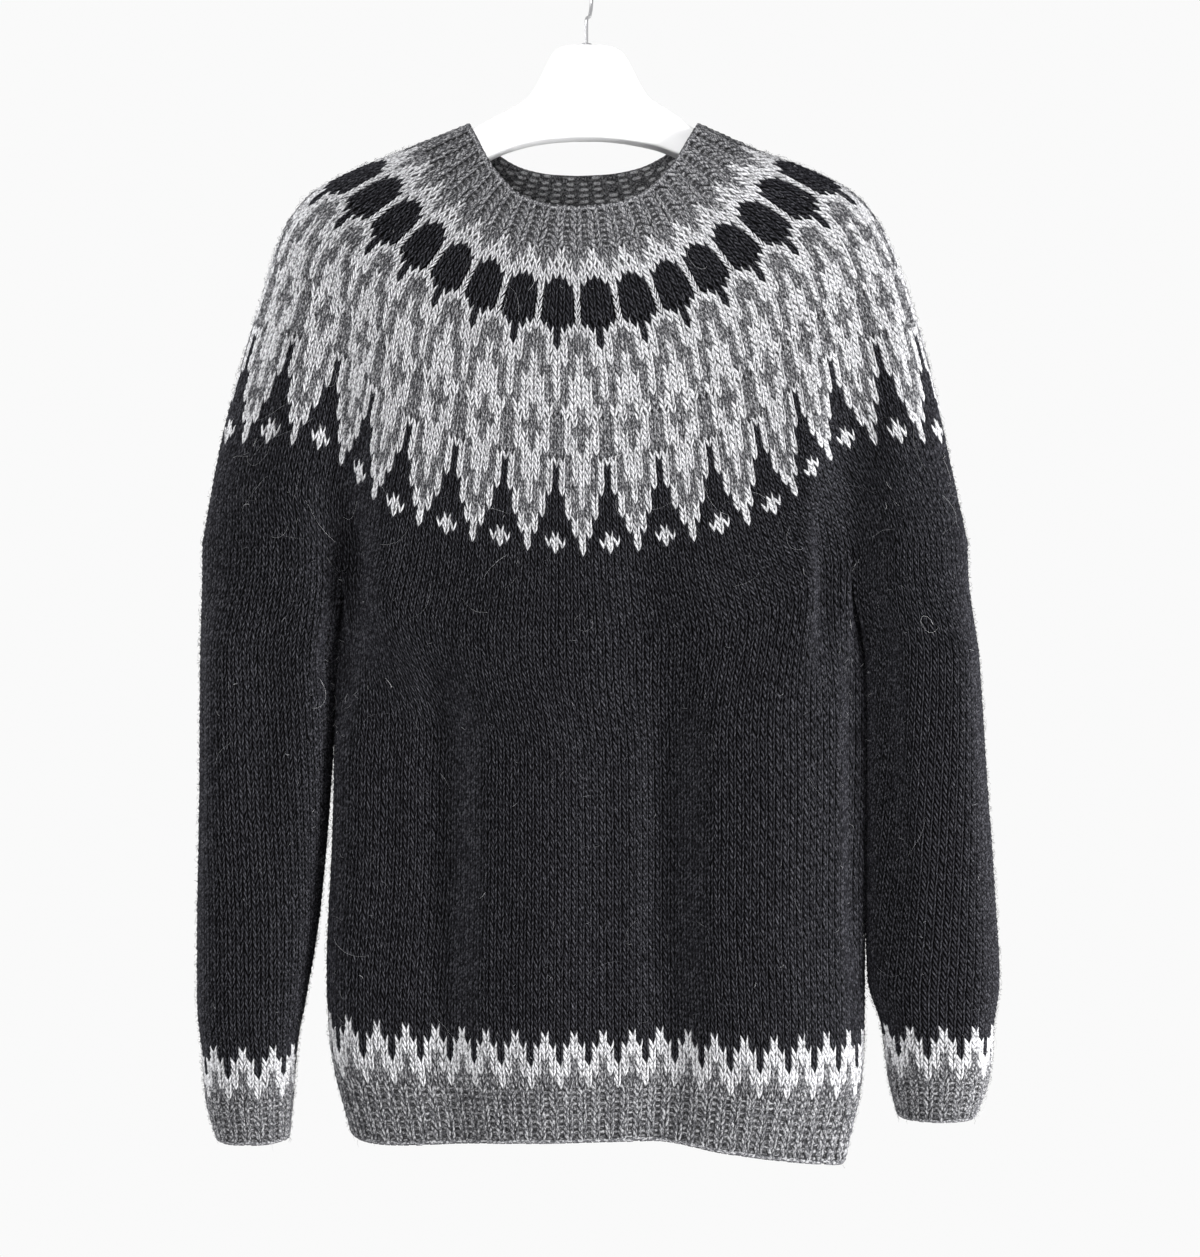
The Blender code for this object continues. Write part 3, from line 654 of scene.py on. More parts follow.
def body_top(stitch):
    """The body's edge at the join and under the arms."""
    number = np.mod(stitch, BODY_STITCHES)
    front = HALF_BACK + UNDERARM
    left_arm = (number >= HALF_BACK) & (number <= front)
    right_arm = (number >= BODY_STITCHES - front) & (number <= BODY_STITCHES - HALF_BACK)
    skipped = np.where(number > BODY_STITCHES / 2, 2, 1) * (SLEEVE_ARC - UNDERARM)
    skipped = np.where(number < HALF_BACK, 0, skipped)
    last = number > BODY_STITCHES - HALF_BACK
    over = np.where(number < HALF_BACK, 0, np.where(last, 2, 1)) * (SLEEVE_ARC - UNDERARM)
    points = yoke_points(YOKE_ROWS, number + over)
    points[left_arm] = underarm(True, (number[left_arm] - HALF_BACK) / UNDERARM)
    past = (BODY_STITCHES - HALF_BACK - number[right_arm]) / UNDERARM
    points[right_arm] = underarm(False, past)
    return points


def body_points(row, stitch, top):
    """Points of the body's outside at one row, whose edge at the join is known."""
    size = table_at(BODY_ROUNDS, row)
    x, y, _ = squared_round(size, size.front, size.back)
    ring = folded(np.stack([x, y, 0 * x], axis=1), BODY_FOLDS, row, BODY_STITCHES)
    plain = at_shares(ring, stitch / BODY_STITCHES)
    points = top + (plain - top) * ease(row / JOIN_ROWS)
    edge = smooth(*zip(*HEM_EDGE), np.mod(stitch, BODY_STITCHES))
    points[:, 2] = top[:, 2] + (edge - top[:, 2]) * row / HEM_ROWS
    return points


def sleeve_top(left_side, stitch):
    """A sleeve's edge at the join and under the arm, by stitch from the underarm."""
    half = UNDERARM / 2
    first = HALF_BACK if left_side else YOKE_STITCHES - HALF_BACK - SLEEVE_ARC
    number = np.mod(stitch, SLEEVE_STITCHES)
    points = yoke_points(YOKE_ROWS, first + number - half)
    under = (number <= half) | (number >= SLEEVE_STITCHES - half)
    past = np.where(number > half, number - SLEEVE_STITCHES, number)[under]
    side = -1 if left_side else 1
    points[under] = underarm(left_side, 0.5 + side * past / UNDERARM)
    return points


def sleeve_points(left_side, row, stitch, top):
    """Points of a sleeve's outside at one row, whose edge at the join is known."""
    table = LEFT_SLEEVE_ROUNDS if left_side else RIGHT_SLEEVE_ROUNDS
    folds = LEFT_SLEEVE_FOLDS if left_side else RIGHT_SLEEVE_FOLDS
    size = table_at(table, row)
    side = -1 if left_side else 1
    turn = turns()
    middle = side * (size.outer + size.inner) / 2
    across = -side * (size.outer - size.inner) / 2
    x = middle + across * np.sign(np.cos(turn)) * np.abs(np.cos(turn)) ** size.square
    turned = -side * np.sin(turn)
    depth = np.where(turned > 0, size.back, size.front)
    y = depth * np.sign(turned) * np.abs(turned) ** size.square
    ring = folded(np.stack([x, y, 0 * x], axis=1), folds, row, SLEEVE_STITCHES)
    plain = at_shares(ring, stitch / SLEEVE_STITCHES)
    points = top + (plain - top) * ease(row / JOIN_ROWS)
    tilt = top[:, 2] - table[0].height
    points[:, 2] = size.height + tilt * (1 - ease(row / (3 * JOIN_ROWS)))
    return points


def grid_places(rows, stitches):
    return np.arange(0, rows + GRID_STEP / 2, GRID_STEP), np.arange(0, stitches, GRID_STEP)


def yoke_cloth():
    """The yoke's outside, and directions that are level at the join below it."""
    rows, stitch = grid_places(YOKE_ROWS, YOKE_STITCHES)
    points = np.array([yoke_points(row, stitch) for row in rows])
    outward = np.empty_like(points)
    for place, row in enumerate(rows):
        above, below = points[max(place - 1, 0)], points[min(place + 1, len(rows) - 1)]
        ring = points[place]
        along = np.roll(ring, -1, axis=0) - np.roll(ring, 1, axis=0)
        slanted = np.cross(below - above, along)
        slanted /= np.linalg.norm(slanted, axis=1)[:, None]
        upright = ease((row - (YOKE_ROWS - UNEVEN_ROWS)) / UNEVEN_ROWS)
        mixed = slanted + (plan_normals(ring) - slanted) * upright
        outward[place] = mixed / np.linalg.norm(mixed, axis=1)[:, None]
    return Cloth(points, outward, YOKE_STITCHES)


def tube_cloth(rows, stitches, ring_at):
    """The outside of the body or a sleeve, from the function that gives its rings."""
    rows, stitch = grid_places(rows, stitches)
    points = np.array([ring_at(row, stitch) for row in rows])
    outward = np.array([plan_normals(ring) for ring in points])
    return Cloth(points, outward, stitches)


def body_cloth():
    _, stitch = grid_places(HEM_ROWS, BODY_STITCHES)
    top = body_top(stitch)
    return tube_cloth(HEM_ROWS, BODY_STITCHES, lambda row, at: body_points(row, at, top))


def sleeve_cloth(left_side):
    _, stitch = grid_places(CUFF_ROWS, SLEEVE_STITCHES)
    top = sleeve_top(left_side, stitch)
    return tube_cloth(
        CUFF_ROWS,
        SLEEVE_STITCHES,
        lambda row, at: sleeve_points(left_side, row, at, top),
    )


def cloth_at(cloth, row, stitch):
    """Points of a cloth at rows and stitches, and the directions out of it."""
    rows, columns = cloth.points.shape[:2]
    down = np.asarray(row, float) / GRID_STEP
    upper = np.clip(np.floor(down).astype(int), 0, rows - 2)
    down = (down - upper)[..., None]
    across = np.mod(np.asarray(stitch, float), cloth.stitches) / GRID_STEP
    left = np.floor(across).astype(int) % columns
    right = (left + 1) % columns
    across = (across - np.floor(across))[..., None]
    found = []
    for grid in (cloth.points, cloth.outward):
        top = grid[upper, left] * (1 - across) + grid[upper, right] * across
        low = grid[upper + 1, left] * (1 - across) + grid[upper + 1, right] * across
        found.append(top * (1 - down) + low * down)
    points, outward = found
    return points, outward / np.linalg.norm(outward, axis=-1, keepdims=True)


def charted(chart):
    """The lines of a chart, one for each round."""
    return [colours for rounds, colours in chart for _ in range(rounds)]


def whole_round(row, colours, count, whole, start=0.0):
    """A round of evenly spaced stitches."""
    return Round(row, colours, np.arange(count), whole / count, start, np.ones(count))


def yoke_rounds():
    rounds = []
    for up, colours in enumerate(charted(YOKE_CHART), start=1):
        count = REPEATS * len(colours)
        rounds.append(whole_round(TIP_ROW - up, colours, count, YOKE_STITCHES))
    for row in range(TIP_ROW, YOKE_ROWS):
        rounds.append(whole_round(row, "b", YOKE_STITCHES, YOKE_STITCHES))
    return rounds


def body_rounds():
    lines = ["b"] * BODY_CHART_ROW + charted(BORDER_CHART)
    return [
        whole_round(row, colours, BODY_STITCHES, BODY_STITCHES, HEM_CHART_START)
        for row, colours in enumerate(lines)
    ]


def sleeve_rounds():
    """Rounds of a sleeve, counted from the fold on its outside.

    The columns run on down the sleeve, and the decreases take them away one by
    one at the line under the arm, where one wider or narrower stitch is left.
    """
    lines = ["b"] * SLEEVE_CHART_ROW + charted(BORDER_CHART)
    rounds = []
    for row, colours in enumerate(lines):
        worked = min(row / SLEEVE_CHART_ROW, 1)
        count = SLEEVE_STITCHES + (CUFF_STITCHES - SLEEVE_STITCHES) * worked
        pitch = SLEEVE_STITCHES / count
        reach = int((count - 1) / 2)
        numbers = np.arange(-reach, reach + 1)
        widths = np.ones(len(numbers))
        left_over = count - len(numbers)
        if left_over > LEAST_STITCH:
            numbers = np.append(numbers, reach + 0.5 + left_over / 2)
            widths = np.append(widths, left_over)
        turned = -CUFF_CHART_START % len(colours)
        colours = colours[turned:] + colours[:turned]
        rounds.append(Round(row, colours, numbers, pitch, SLEEVE_STITCHES / 2, widths))
    return rounds


def yarns_of(colours, numbers):
    """The yarns of the stitches with these numbers, in a round of repeated colours."""
    repeat = np.array([YARNS.index(letter) for letter in colours])
    return repeat[np.round(numbers).astype(int) % len(repeat)]


def in_columns(rounds):
    """All the stitches of some rounds: row, stitch, width in cloth stitches, yarn."""
    row = np.concatenate([np.full(len(r.numbers), float(r.row)) for r in rounds])
    stitch = np.concatenate([r.start + r.numbers * r.pitch for r in rounds])
    width = np.concatenate([r.pitch * r.widths for r in rounds])
    yarn = np.concatenate([yarns_of(r.colours, r.numbers) for r in rounds])
    return row, stitch, width, yarn


def placed(name, data):
    """An object of this name, with its data, in the scene."""
    thing = bpy.data.objects.new(name, data)
    bpy.context.scene.collection.objects.link(thing)
    return thing


def mesh_piece(name, points, faces, finish_of_face, layout, fibre, crown):
    """A mesh object from arrays, whose layout has one place for each corner.

    Fibre is where a point lies along and across its yarn, in millimetres, and
    crown is 1 on the crest of the yarn and 0 in the gaps beside it; the wool paints
    shade into its colour where the crown is low.
    """
    mesh = bpy.data.meshes.new(name)
    sides = faces.shape[1]
    mesh.vertices.add(len(points))
    mesh.vertices.foreach_set("co", (points * MM).astype(np.float32).ravel())
    mesh.loops.add(faces.size)
    mesh.loops.foreach_set("vertex_index", faces.astype(np.int32).ravel())
    mesh.polygons.add(len(faces))
    starts = np.arange(len(faces), dtype=np.int32) * sides
    mesh.polygons.foreach_set("loop_start", starts)
    mesh.polygons.foreach_set("use_smooth", np.ones(len(faces), bool))
    worn = sorted(set(np.unique(finish_of_face)))
    mesh.polygons.foreach_set(
        "material_index", np.searchsorted(worn, finish_of_face).astype(np.int32)
    )
    for number in worn:
        mesh.materials.append(YARN_FINISHES[number])
    places = mesh.uv_layers.new(name="OFBake")
    places.data.foreach_set("uv", layout.astype(np.float32).ravel())
    along = mesh.attributes.new("fibre", "FLOAT_VECTOR", "POINT")
    along.data.foreach_set("vector", fibre.astype(np.float32).ravel())
    crest = mesh.attributes.new("crown", "FLOAT", "POINT")
    crest.data.foreach_set("value", crown.astype(np.float32).ravel())
    mesh.update(calc_edges=True)
    return placed(name, mesh)


class Stitchery:
    """Gathers leaves of wool, and makes one piece of them."""

    def __init__(self, seed, first_row, last_row):
        self.chance = np.random.default_rng(seed)
        self.rows = first_row, last_row
        self.leaves = []
        self.fibres = []
        self.crowns = []
        self.yarns = []
        self.mirrored = []

    def add(self, cloth, shape, stitches, side=1, lift=0.0, crown=1.0, inside=False):
        """One leaf for each stitch. A side of -1 mirrors the leaf's shape, and a crown below 1 darkens
        its colour with painted shade.
        """
        row, stitch, width, yarn = stitches
        count = len(row)
        full = (width * FULLNESS[yarn])[:, None]
        loose = self.chance.normal(size=(4, count, 1))
        wider, aside, lower, prouder = (much * draw for much, draw in zip(LOOSENESS, loose))
        across = full * (np.array(shape.across) * side * (1 + wider) + aside)
        down = np.array(shape.down) + lower
        height = np.array(shape.height) * (1 + prouder) + (lift + PROUDNESS[yarn][:, None])
        yarn_start = self.chance.uniform(0, FIBRE_RUN, (count, 1)) + 0 * down
        along = [across * STITCH_WIDTH, down * ROW_HEIGHT, yarn_start]
        if shape in (PURL_BUMP, INSIDE_BUMP):
            along = [along[1], along[0], yarn_start]
        points, outward = cloth_at(
            cloth, np.clip(row[:, None] + down, *self.rows), stitch[:, None] + across
        )
        if inside:
            points = points - outward * (WALL + height[..., None])
        else:
            points = points + outward * height[..., None]
        self.leaves.append(points)
        self.fibres.append(np.stack(along, axis=-1))
        self.crowns.append(np.tile(CROWN, count) * crown)
        self.yarns.append(yarn)
        self.mirrored.append(np.full(count, (side < 0) != inside))

    def knit(self, cloth, stitches, lift=0.0):
        """Both legs of each stitch, which are slim where black ones squeeze it."""
        *_, yarn = stitches
        slim = yarn == SQUEEZED_GREY
        full_ones = [values[~slim] for values in stitches]
        slim_ones = [values[slim] for values in stitches]
        self.add(cloth, LEFT_LEG, full_ones, -1, lift)
        self.add(cloth, RIGHT_LEG, full_ones, 1, lift)
        if slim.any():
            self.add(cloth, SLIM_LEFT_LEG, slim_ones, -1, lift)
            self.add(cloth, SLIM_RIGHT_LEG, slim_ones, 1, lift)

    def piece(self, name):
        """All the leaves as one mesh object, each in its own cell of the layout."""
        leaves = np.concatenate(self.leaves)
        yarns = np.concatenate(self.yarns)
        mirrored = np.concatenate(self.mirrored)
        count, corners = leaves.shape[:2]
        first = np.arange(count)[:, None, None] * corners
        plain = np.array(LEAF_TRIANGLES)
        faces = np.where(mirrored[:, None, None], plain[:, ::-1], plain) + first
        columns = int(np.ceil(np.sqrt(count)))
        cell = np.stack([np.arange(count) % columns, np.arange(count) // columns], axis=1)
        places = (cell[:, None, :] + np.stack([LAYOUT_ACROSS, LAYOUT_UP], axis=1)) / columns
        faces = faces.reshape(-1, 3)
        return mesh_piece(
            name,
            leaves.reshape(-1, 3),
            faces,
            np.repeat(yarns, len(plain)),
            places.reshape(-1, 2)[faces],
            np.concatenate(self.fibres).reshape(-1, 3),
            np.concatenate(self.crowns),
        )


def stitch_piece(name, cloth, rounds, seed, keep=None):
    """The knitted stitches of some rounds, in whole or where keep says so."""
    stitches = in_columns(rounds)
    if keep is not None:
        _, number, *_ = stitches
        chosen = keep(np.mod(number, cloth.stitches))
        stitches = [values[chosen] for values in stitches]
    rows = [around.row for around in rounds]
    work = Stitchery(seed, min(rows) - OVER, max(rows) + UNDER)
    work.knit(cloth, stitches)
    return work.piece(name)


def columns_of(rows, numbers, pitch, width, yarns):
    """Stitches of every row at the given columns, whose yarns are picked for each."""
    row, number = (a.ravel().astype(float) for a in np.meshgrid(rows, numbers))
    return row, number * pitch, np.full(len(row), width * pitch), yarns(len(row))


def rib_piece(name, cloth, rib, seed, inside):
    """One by one ribs: raised knitted columns with purl bumps sunk between them."""
    rows = np.arange(*rib.rows)
    pitch = cloth.stitches / rib.count
    work = Stitchery(seed, max(rows[0] - RIB_OVER, 0.0), rows[-1] + RIB_UNDER)
    raised, sunk = np.arange(0, rib.count, 2), np.arange(1, rib.count, 2)

    def grey(size):
        return np.full(size, MID_GREY)

    def greys_with_painted_light(size):
        return np.where(work.chance.random(size) < INSIDE_PAINTED_LIGHT_SHARE, LIGHT_GREY, MID_GREY)

    legs = columns_of(rows, raised, pitch, RIB_LEG_WIDTH, grey)
    work.knit(cloth, legs, lift=RIB_LEG_RISE * rib.relief)
    bumps = columns_of(rows, sunk, pitch, 1.0, grey)
    # Painted shade: the sunk bumps get a lower crown, which darkens their colour
    shade = 1 - RIB_BUMP_PAINTED_SHADE * rib.relief
    work.add(cloth, PURL_BUMP, bumps, lift=-RIB_BUMP_SINK * rib.relief, crown=shade)
    if inside:
        # Painted light: most of the bumps inside are worn in light grey, for light that shows through
        # the rib
        bumps = columns_of(rows, sunk, pitch, INSIDE_BUMP_WIDTH, greys_with_painted_light)
        work.add(cloth, INSIDE_BUMP, bumps, lift=INSIDE_BUMP_LIFT, inside=True)
        bumps = columns_of(rows, raised, pitch, INSIDE_GAP_WIDTH, grey)
        work.add(
            cloth, PURL_BUMP, bumps, lift=INSIDE_GAP_LIFT, crown=INSIDE_GAP_PAINTED_SHADE_CROWN, inside=True
        )
    edge = columns_of([rib.edge_row], np.arange(rib.count), pitch, EDGE_WIDTH, grey)
    work.add(cloth, PURL_BUMP, edge, lift=EDGE_LIFT)
    work.add(cloth, PURL_BUMP, edge, lift=EDGE_INSIDE_LIFT, inside=True)
    return work.piece(name)


def yarn_at(rounds, row, stitch, whole):
    """The yarn of the stitch at each row and stitch of a cloth."""
    found = np.zeros(np.shape(row), int)
    by_row = {around.row: around for around in rounds}
    for number in np.unique(row):
        around = by_row.get(int(number))
        if around is None:
            continue
        here = row == number
        past = np.mod(stitch[here] - around.start + whole / 2, whole) - whole / 2
        found[here] = yarns_of(around.colours, past / around.pitch)
    return np.where(found == SQUEEZED_GREY, BLACK, found)


def shell_piece(name, cloth, rows, columns, yarn, rounds=(), inner_every=3):
    """The ground of the cloth under the stitches: a thin closed wall with round edges."""
    stitch = np.arange(columns) * cloth.stitches / columns
    inner_rows = rows[::inner_every]
    if inner_rows[-1] != rows[-1]:
        inner_rows = np.append(inner_rows, rows[-1])
    outer, outward = cloth_at(cloth, *np.meshgrid(rows, stitch, indexing="ij"))
    inner, inward = cloth_at(cloth, *np.meshgrid(inner_rows, stitch, indexing="ij"))
    outer = outer - outward * UNDER_STITCHES
    inner = inner - inward * WALL
    rings = np.concatenate([outer, inner[::-1]])
    count = len(rings)
    ring, column = np.meshgrid(np.arange(count), np.arange(columns), indexing="ij")
    after, low = (column + 1) % columns, (ring + 1) % count
    corners = [(ring, column), (low, column), (low, after), (ring, after)]
    faces = np.stack([a * columns + b for a, b in corners], axis=-1).reshape(-1, 4)
    yarns = np.full((count, columns), yarn)
    if rounds:
        outside = len(rows) - 1
        middle = stitch + 0.5 * cloth.stitches / columns
        places = np.meshgrid(rows[:outside], middle, indexing="ij")
        yarns[:outside] = yarn_at(rounds, *places, cloth.stitches)
    steps = [(0, 0), (0, 1), (1, 1), (1, 0)]
    layout = [
        np.stack([(column + right) / columns, 1 - (ring + down) / count], axis=-1)
        for right, down in steps
    ]
    row_mm = np.concatenate([rows, inner_rows[::-1]])[:, None] * ROW_HEIGHT
    fibre = np.stack(np.broadcast_arrays(stitch * STITCH_WIDTH, row_mm, 0.0), axis=-1)
    # Painted shade: the outside of the ground has a crown of 0 and is darkened as a gap, and its inside
    # is darkened a little
    crown = np.where(np.arange(count) < len(rows), 0.0, INSIDE_PAINTED_SHADE_CROWN)
    return mesh_piece(
        name,
        rings.reshape(-1, 3),
        faces,
        yarns.ravel(),
        np.stack(layout, axis=2).reshape(-1, 2),
        fibre.reshape(-1, 3),
        np.repeat(crown, columns),
    )


def tuft(hair, cloth, chance, count, rows, side_share=0.0):
    """Random places of hairs on a cloth, a share of them at its sides, and yarns."""
    row = chance.uniform(*rows, count)
    stitch = chance.uniform(0, cloth.stitches, count)
    aside = chance.random(count) < side_share
    quarter = cloth.stitches / 4
    near = quarter * chance.choice((1, 3), count) + chance.normal(0, quarter / SIDE_SPREAD, count)
    # A sleeve's stitches are counted from its inner side, not from the back
    if cloth.stitches == SLEEVE_STITCHES:
        near -= quarter
    yarn = chance.choice(3, count, p=hair.yarns)
    return cloth, row, np.where(aside, near, stitch), yarn


def hair_rings(hair, cloth, row, stitch, chance):
    """Rings along like hairs, and where each starts along its fibre."""
    count = len(row)
    step = chance.uniform(*hair.length, count)[:, None] / (hair.points - 1)
    bend = chance.normal(0, hair.curl, (count, 1))
    bend = bend + chance.normal(0, hair.curl / 2, (count, hair.points))
    heading = chance.uniform(0, 2 * pi, (count, 1)) + np.cumsum(bend * step, axis=1)
    right = np.cumsum(np.cos(heading) * step, axis=1) / STITCH_WIDTH
    down = np.cumsum(np.sin(heading) * step, axis=1) / ROW_HEIGHT
    middle, outward = cloth_at(cloth, row[:, None] + down, stitch[:, None] + right)
    share = np.linspace(0, 1, hair.points)
    arch = np.sin(pi * share * chance.uniform(*HAIR_ARCH, (count, 1)))
    height = HAIR_FOOT + chance.uniform(*hair.rise, (count, 1)) * arch
    middle = middle + outward * height[..., None]
    along = np.gradient(middle, axis=1)
    along /= np.linalg.norm(along, axis=-1, keepdims=True)
    aside = np.cross(along, outward)
    aside /= np.linalg.norm(aside, axis=-1, keepdims=True)
    over = np.cross(aside, along)
    turn = np.arange(HAIR_SIDES) * 2 * pi / HAIR_SIDES
    ring = aside[:, :, None] * np.cos(turn)[:, None] + over[:, :, None] * np.sin(turn)[:, None]
    radius = hair.thick * (1 - HAIR_TAPER * share)[None, :, None, None]
    rings = middle[:, :, None] + radius * ring
    starts = chance.uniform(0, FIBRE_RUN, (count, 1, 1, 1))
    return rings, np.broadcast_to(starts, rings.shape)


def hair_piece(name, hair, tufts, chance):
    """Fine hairs that stand off the wool, each in its own cell of the layout."""
    made = [hair_rings(hair, cloth, row, stitch, chance) for cloth, row, stitch, _ in tufts]
    rings, fibres = (np.concatenate(group) for group in zip(*made))
    corners, places = [], []
    for step in range(hair.points - 1):
        low, high = (STRIP_START + STRIP_RUN * end / (hair.points - 1) for end in (step, step + 1))
        for side in range(HAIR_SIDES):
            a, b = step * HAIR_SIDES + side, step * HAIR_SIDES + (side + 1) % HAIR_SIDES
            c, d = a + HAIR_SIDES, b + HAIR_SIDES
            left = STRIP_START + STRIP_WIDTH * side
            right = left + STRIP_WIDTH
            corners += [(a, b, d), (a, d, c)]
            places += [((left, low), (right, low), (right, high))]
            places += [((left, low), (right, high), (left, high))]
    last = (hair.points - 1) * HAIR_SIDES
    corners += [(2, 1, 0), (last, last + 1, last + 2)]
    places += END_PLACES
    number = np.arange(len(rings))
    faces = np.array(corners) + number[:, None, None] * hair.points * HAIR_SIDES
    columns = int(np.ceil(np.sqrt(len(rings))))
    cell = np.stack([number % columns, number // columns], axis=1)[:, None, None, :]
    return mesh_piece(
        name,
        rings.reshape(-1, 3),
        faces.reshape(-1, 3),
        np.repeat(np.concatenate([yarn for *_, yarn in tufts]), len(corners)),
        ((np.array(places) + cell) / columns).reshape(-1, 2),
        fibres.reshape(-1, 3),
        np.ones(rings.size // 3),
    )


def solid_piece(name, bars, finish):
    """A piece of closed bars, each given by the rings of points along it."""
    points, faces = [], []
    for rings in bars:
        first = len(points)
        count, sides = rings.shape[:2]
        for step in range(count - 1):
            low = first + step * sides
            for side in range(sides):
                after = (side + 1) % sides
                faces.append([low + side, low + after, low + sides + after, low + sides + side])
        faces.append([first + side for side in range(sides)])
        faces.append([first + (count - 1) * sides + side for side in range(sides)])
        points += (rings.reshape(-1, 3) * MM).tolist()
    mesh = bpy.data.meshes.new(name)
    mesh.from_pydata(points, [], faces)
    shape = bmesh.new()
    shape.from_mesh(mesh)
    bmesh.ops.recalc_face_normals(shape, faces=shape.faces[:])
    shape.to_mesh(mesh)
    shape.free()
    mesh.shade_smooth()
    mesh.set_sharp_from_angle(angle=radians(SHARP_ANGLE))
    mesh.materials.append(finish)
    return placed(name, mesh)


def shoulder_crest(row, left_side):
    """Where a yoke round's underside crosses the top of the hanger's arm."""
    reach = YOKE_STITCHES / 4 * (1 if left_side else 3)
    near = np.linspace(reach - CREST_SEARCH, reach + CREST_SEARCH, CREST_SAMPLES)
    ring = yoke_points(row, near)
    crest = ring[np.argmin(np.abs(ring[:, 1]))]
    beside = yoke_points(row + 1, near)
    after = beside[np.argmin(np.abs(beside[:, 1]))]
    way = after - crest
    down = np.array([way[2], 0, -way[0]])
    down *= np.sign(-down[2])
    return crest + down / np.linalg.norm(down) * (WALL + ARM_CLEARANCE)


def arm_places(left_side):
    """Sections of the hanger's arm, from the end of the shoulder inward."""
    places = []
    last = ARM_ROWS[-1]
    for row in reversed(ARM_ROWS):
        x, _, z = shoulder_crest(row, left_side)
        share = row / last
        depth = ARM_DEPTH + (ARM_END_DEPTH - ARM_DEPTH) * share**ARM_TAPER
        half = ARM_HALF + (ARM_END_HALF - ARM_HALF) * share
        places.append(HangerPlace(x, z, z - depth, half))
    return places


def hanger_section(across, top, under, half_thickness):
    """An upright section with flat sides, soft upper corners and a flat underside."""
    turn = np.linspace(0, pi / 2, CORNER_STEPS + 1)
    points = []
    corners = (
        (half_thickness, top, HANGER_TOP_ROUND, 0),
        (-half_thickness, top, HANGER_TOP_ROUND, 1),
        (-half_thickness, under, HANGER_LOW_ROUND, 2),
        (half_thickness, under - UNDERSIDE_TILT, HANGER_LOW_ROUND, 3),
    )
    for y, z, round_over, quarter in corners:
        middle_y = y - np.sign(y) * round_over
        middle_z = z - round_over if quarter < 2 else z + round_over
        angle = turn + quarter * pi / 2
        y_places = middle_y + round_over * np.cos(angle)
        z_places = middle_z + round_over * np.sin(angle)
        points.append(np.stack([across + 0 * angle, y_places, z_places], axis=1))
    return np.concatenate(points)


def hanger_rings():
    places = arm_places(True) + list(HANGER_PLACES) + arm_places(False)[::-1]
    across, *sizes = zip(*places)
    steps = [
        np.linspace(left, right, max(int((right - left) / HANGER_STEP), 1), endpoint=False)
        for left, right in zip(across[:-1], across[1:])
    ]
    at = np.append(np.concatenate(steps), across[-1])
    top, under, half = (smooth(across, size, at) for size in sizes)
    return np.array([hanger_section(*place) for place in zip(at, top, under, half)])


def hook_route():
    """Middle of the hook's wire: up the shank, round the crown, to the tip."""
    reach = HOOK_RADIUS + WIRE / 2
    start = radians(BEND_START)
    joint = reach * cos(start), reach * sin(start) - HOOK_RADIUS
    share = np.linspace(0, 1, BEND_STEPS, endpoint=False)
    turn = np.linspace(start, radians(HOOK_TIP_ANGLE), HOOK_STEPS)
    back = 1 - share
    up_pull, in_pull = 3 * share * back**2, 3 * share**2 * back
    bend = share**3
    knee = SHANK_TOP + BEND_PULL
    out = in_pull * (joint[0] + BEND_PULL * sin(start)) + bend * joint[0]
    up = back**3 * SHANK_TOP + up_pull * knee
    up += in_pull * (joint[1] - BEND_PULL * cos(start)) + bend * joint[1]
    out = np.concatenate([[0.0], out, reach * np.cos(turn)])
    up = np.concatenate([[SHANK_FOOT], up, reach * np.sin(turn) - HOOK_RADIUS])
    turned = radians(HOOK_TURN)
    return np.stack([out * cos(turned), out * sin(turned), up], axis=1)


def hook_rings():
    """Rings along the wire, with a round tip."""
    route = hook_route()
    way = np.gradient(route, axis=0)
    way /= np.linalg.norm(way, axis=1)[:, None]
    tip = route[-1] + way[-1] * np.array(TIP_PLACES)[:, None]
    route = np.concatenate([route, tip])
    way = np.concatenate([way, np.repeat(way[-1:], 3, axis=0)])
    radius = np.full(len(route), WIRE_DRAWN / 2)
    radius[-3:] *= TIP_SHARES
    turned = radians(HOOK_TURN)
    aside = np.array([-sin(turned), cos(turned), 0])
    over = np.cross(way, aside)
    turn = np.arange(WIRE_SIDES) * 2 * pi / WIRE_SIDES
    ring = aside * np.cos(turn)[:, None] + over[:, None] * np.sin(turn)[:, None]
    return route[:, None] + ring * radius[:, None, None]


def collar_rings():
    turn = np.arange(2 * WIRE_SIDES) * pi / WIRE_SIDES
    circle = np.stack([np.cos(turn), np.sin(turn), 0 * turn], axis=1)
    return np.array([circle * place.radius + (0, 0, place.height) for place in COLLAR])


class Shade:
    """A value in a shader, which sums and products can be written with."""

    def __init__(self, nodes, socket):
        self.nodes = nodes
        self.socket = socket

    def worked(self, operation, first, second):
        return self.nodes.node("Math", {"operation": operation}, [first, second])

    def __add__(self, other):
        return self.worked("ADD", self, other)

    __radd__ = __add__

    def __mul__(self, other):
        return self.worked("MULTIPLY", self, other)

    __rmul__ = __mul__

    def __sub__(self, other):
        return self.worked("SUBTRACT", self, other)

    def __rsub__(self, other):
        return self.worked("SUBTRACT", other, self)


class Nodes:
    """The nodes that a material or the world is mixed from."""

    def __init__(self, owner):
        owner.use_nodes = True
        self.tree = owner.node_tree

    def join(self, value, socket):
        if isinstance(value, Shade):
            self.tree.links.new(value.socket, socket)
        else:
            socket.default_value = value

    def node(self, kind, settings=(), inputs=(), output=0):
        """A node of a kind: its settings first, then what goes into its sockets."""
        made = self.tree.nodes.new("ShaderNode" + kind)
        for name, value in dict(settings).items():
            if name == "stops":
                ramp = made.color_ramp
                while len(ramp.elements) < len(value):
                    ramp.elements.new(1.0)
                for stop, (place, colour) in zip(ramp.elements, value):
                    stop.position = place
                    stop.color = (*colour, 1)
            else:
                setattr(made, name, value)
        named = inputs.items() if isinstance(inputs, dict) else enumerate(inputs)
        for socket, value in named:
            self.join(value, made.inputs[socket])
        return Shade(self, made.outputs[output])


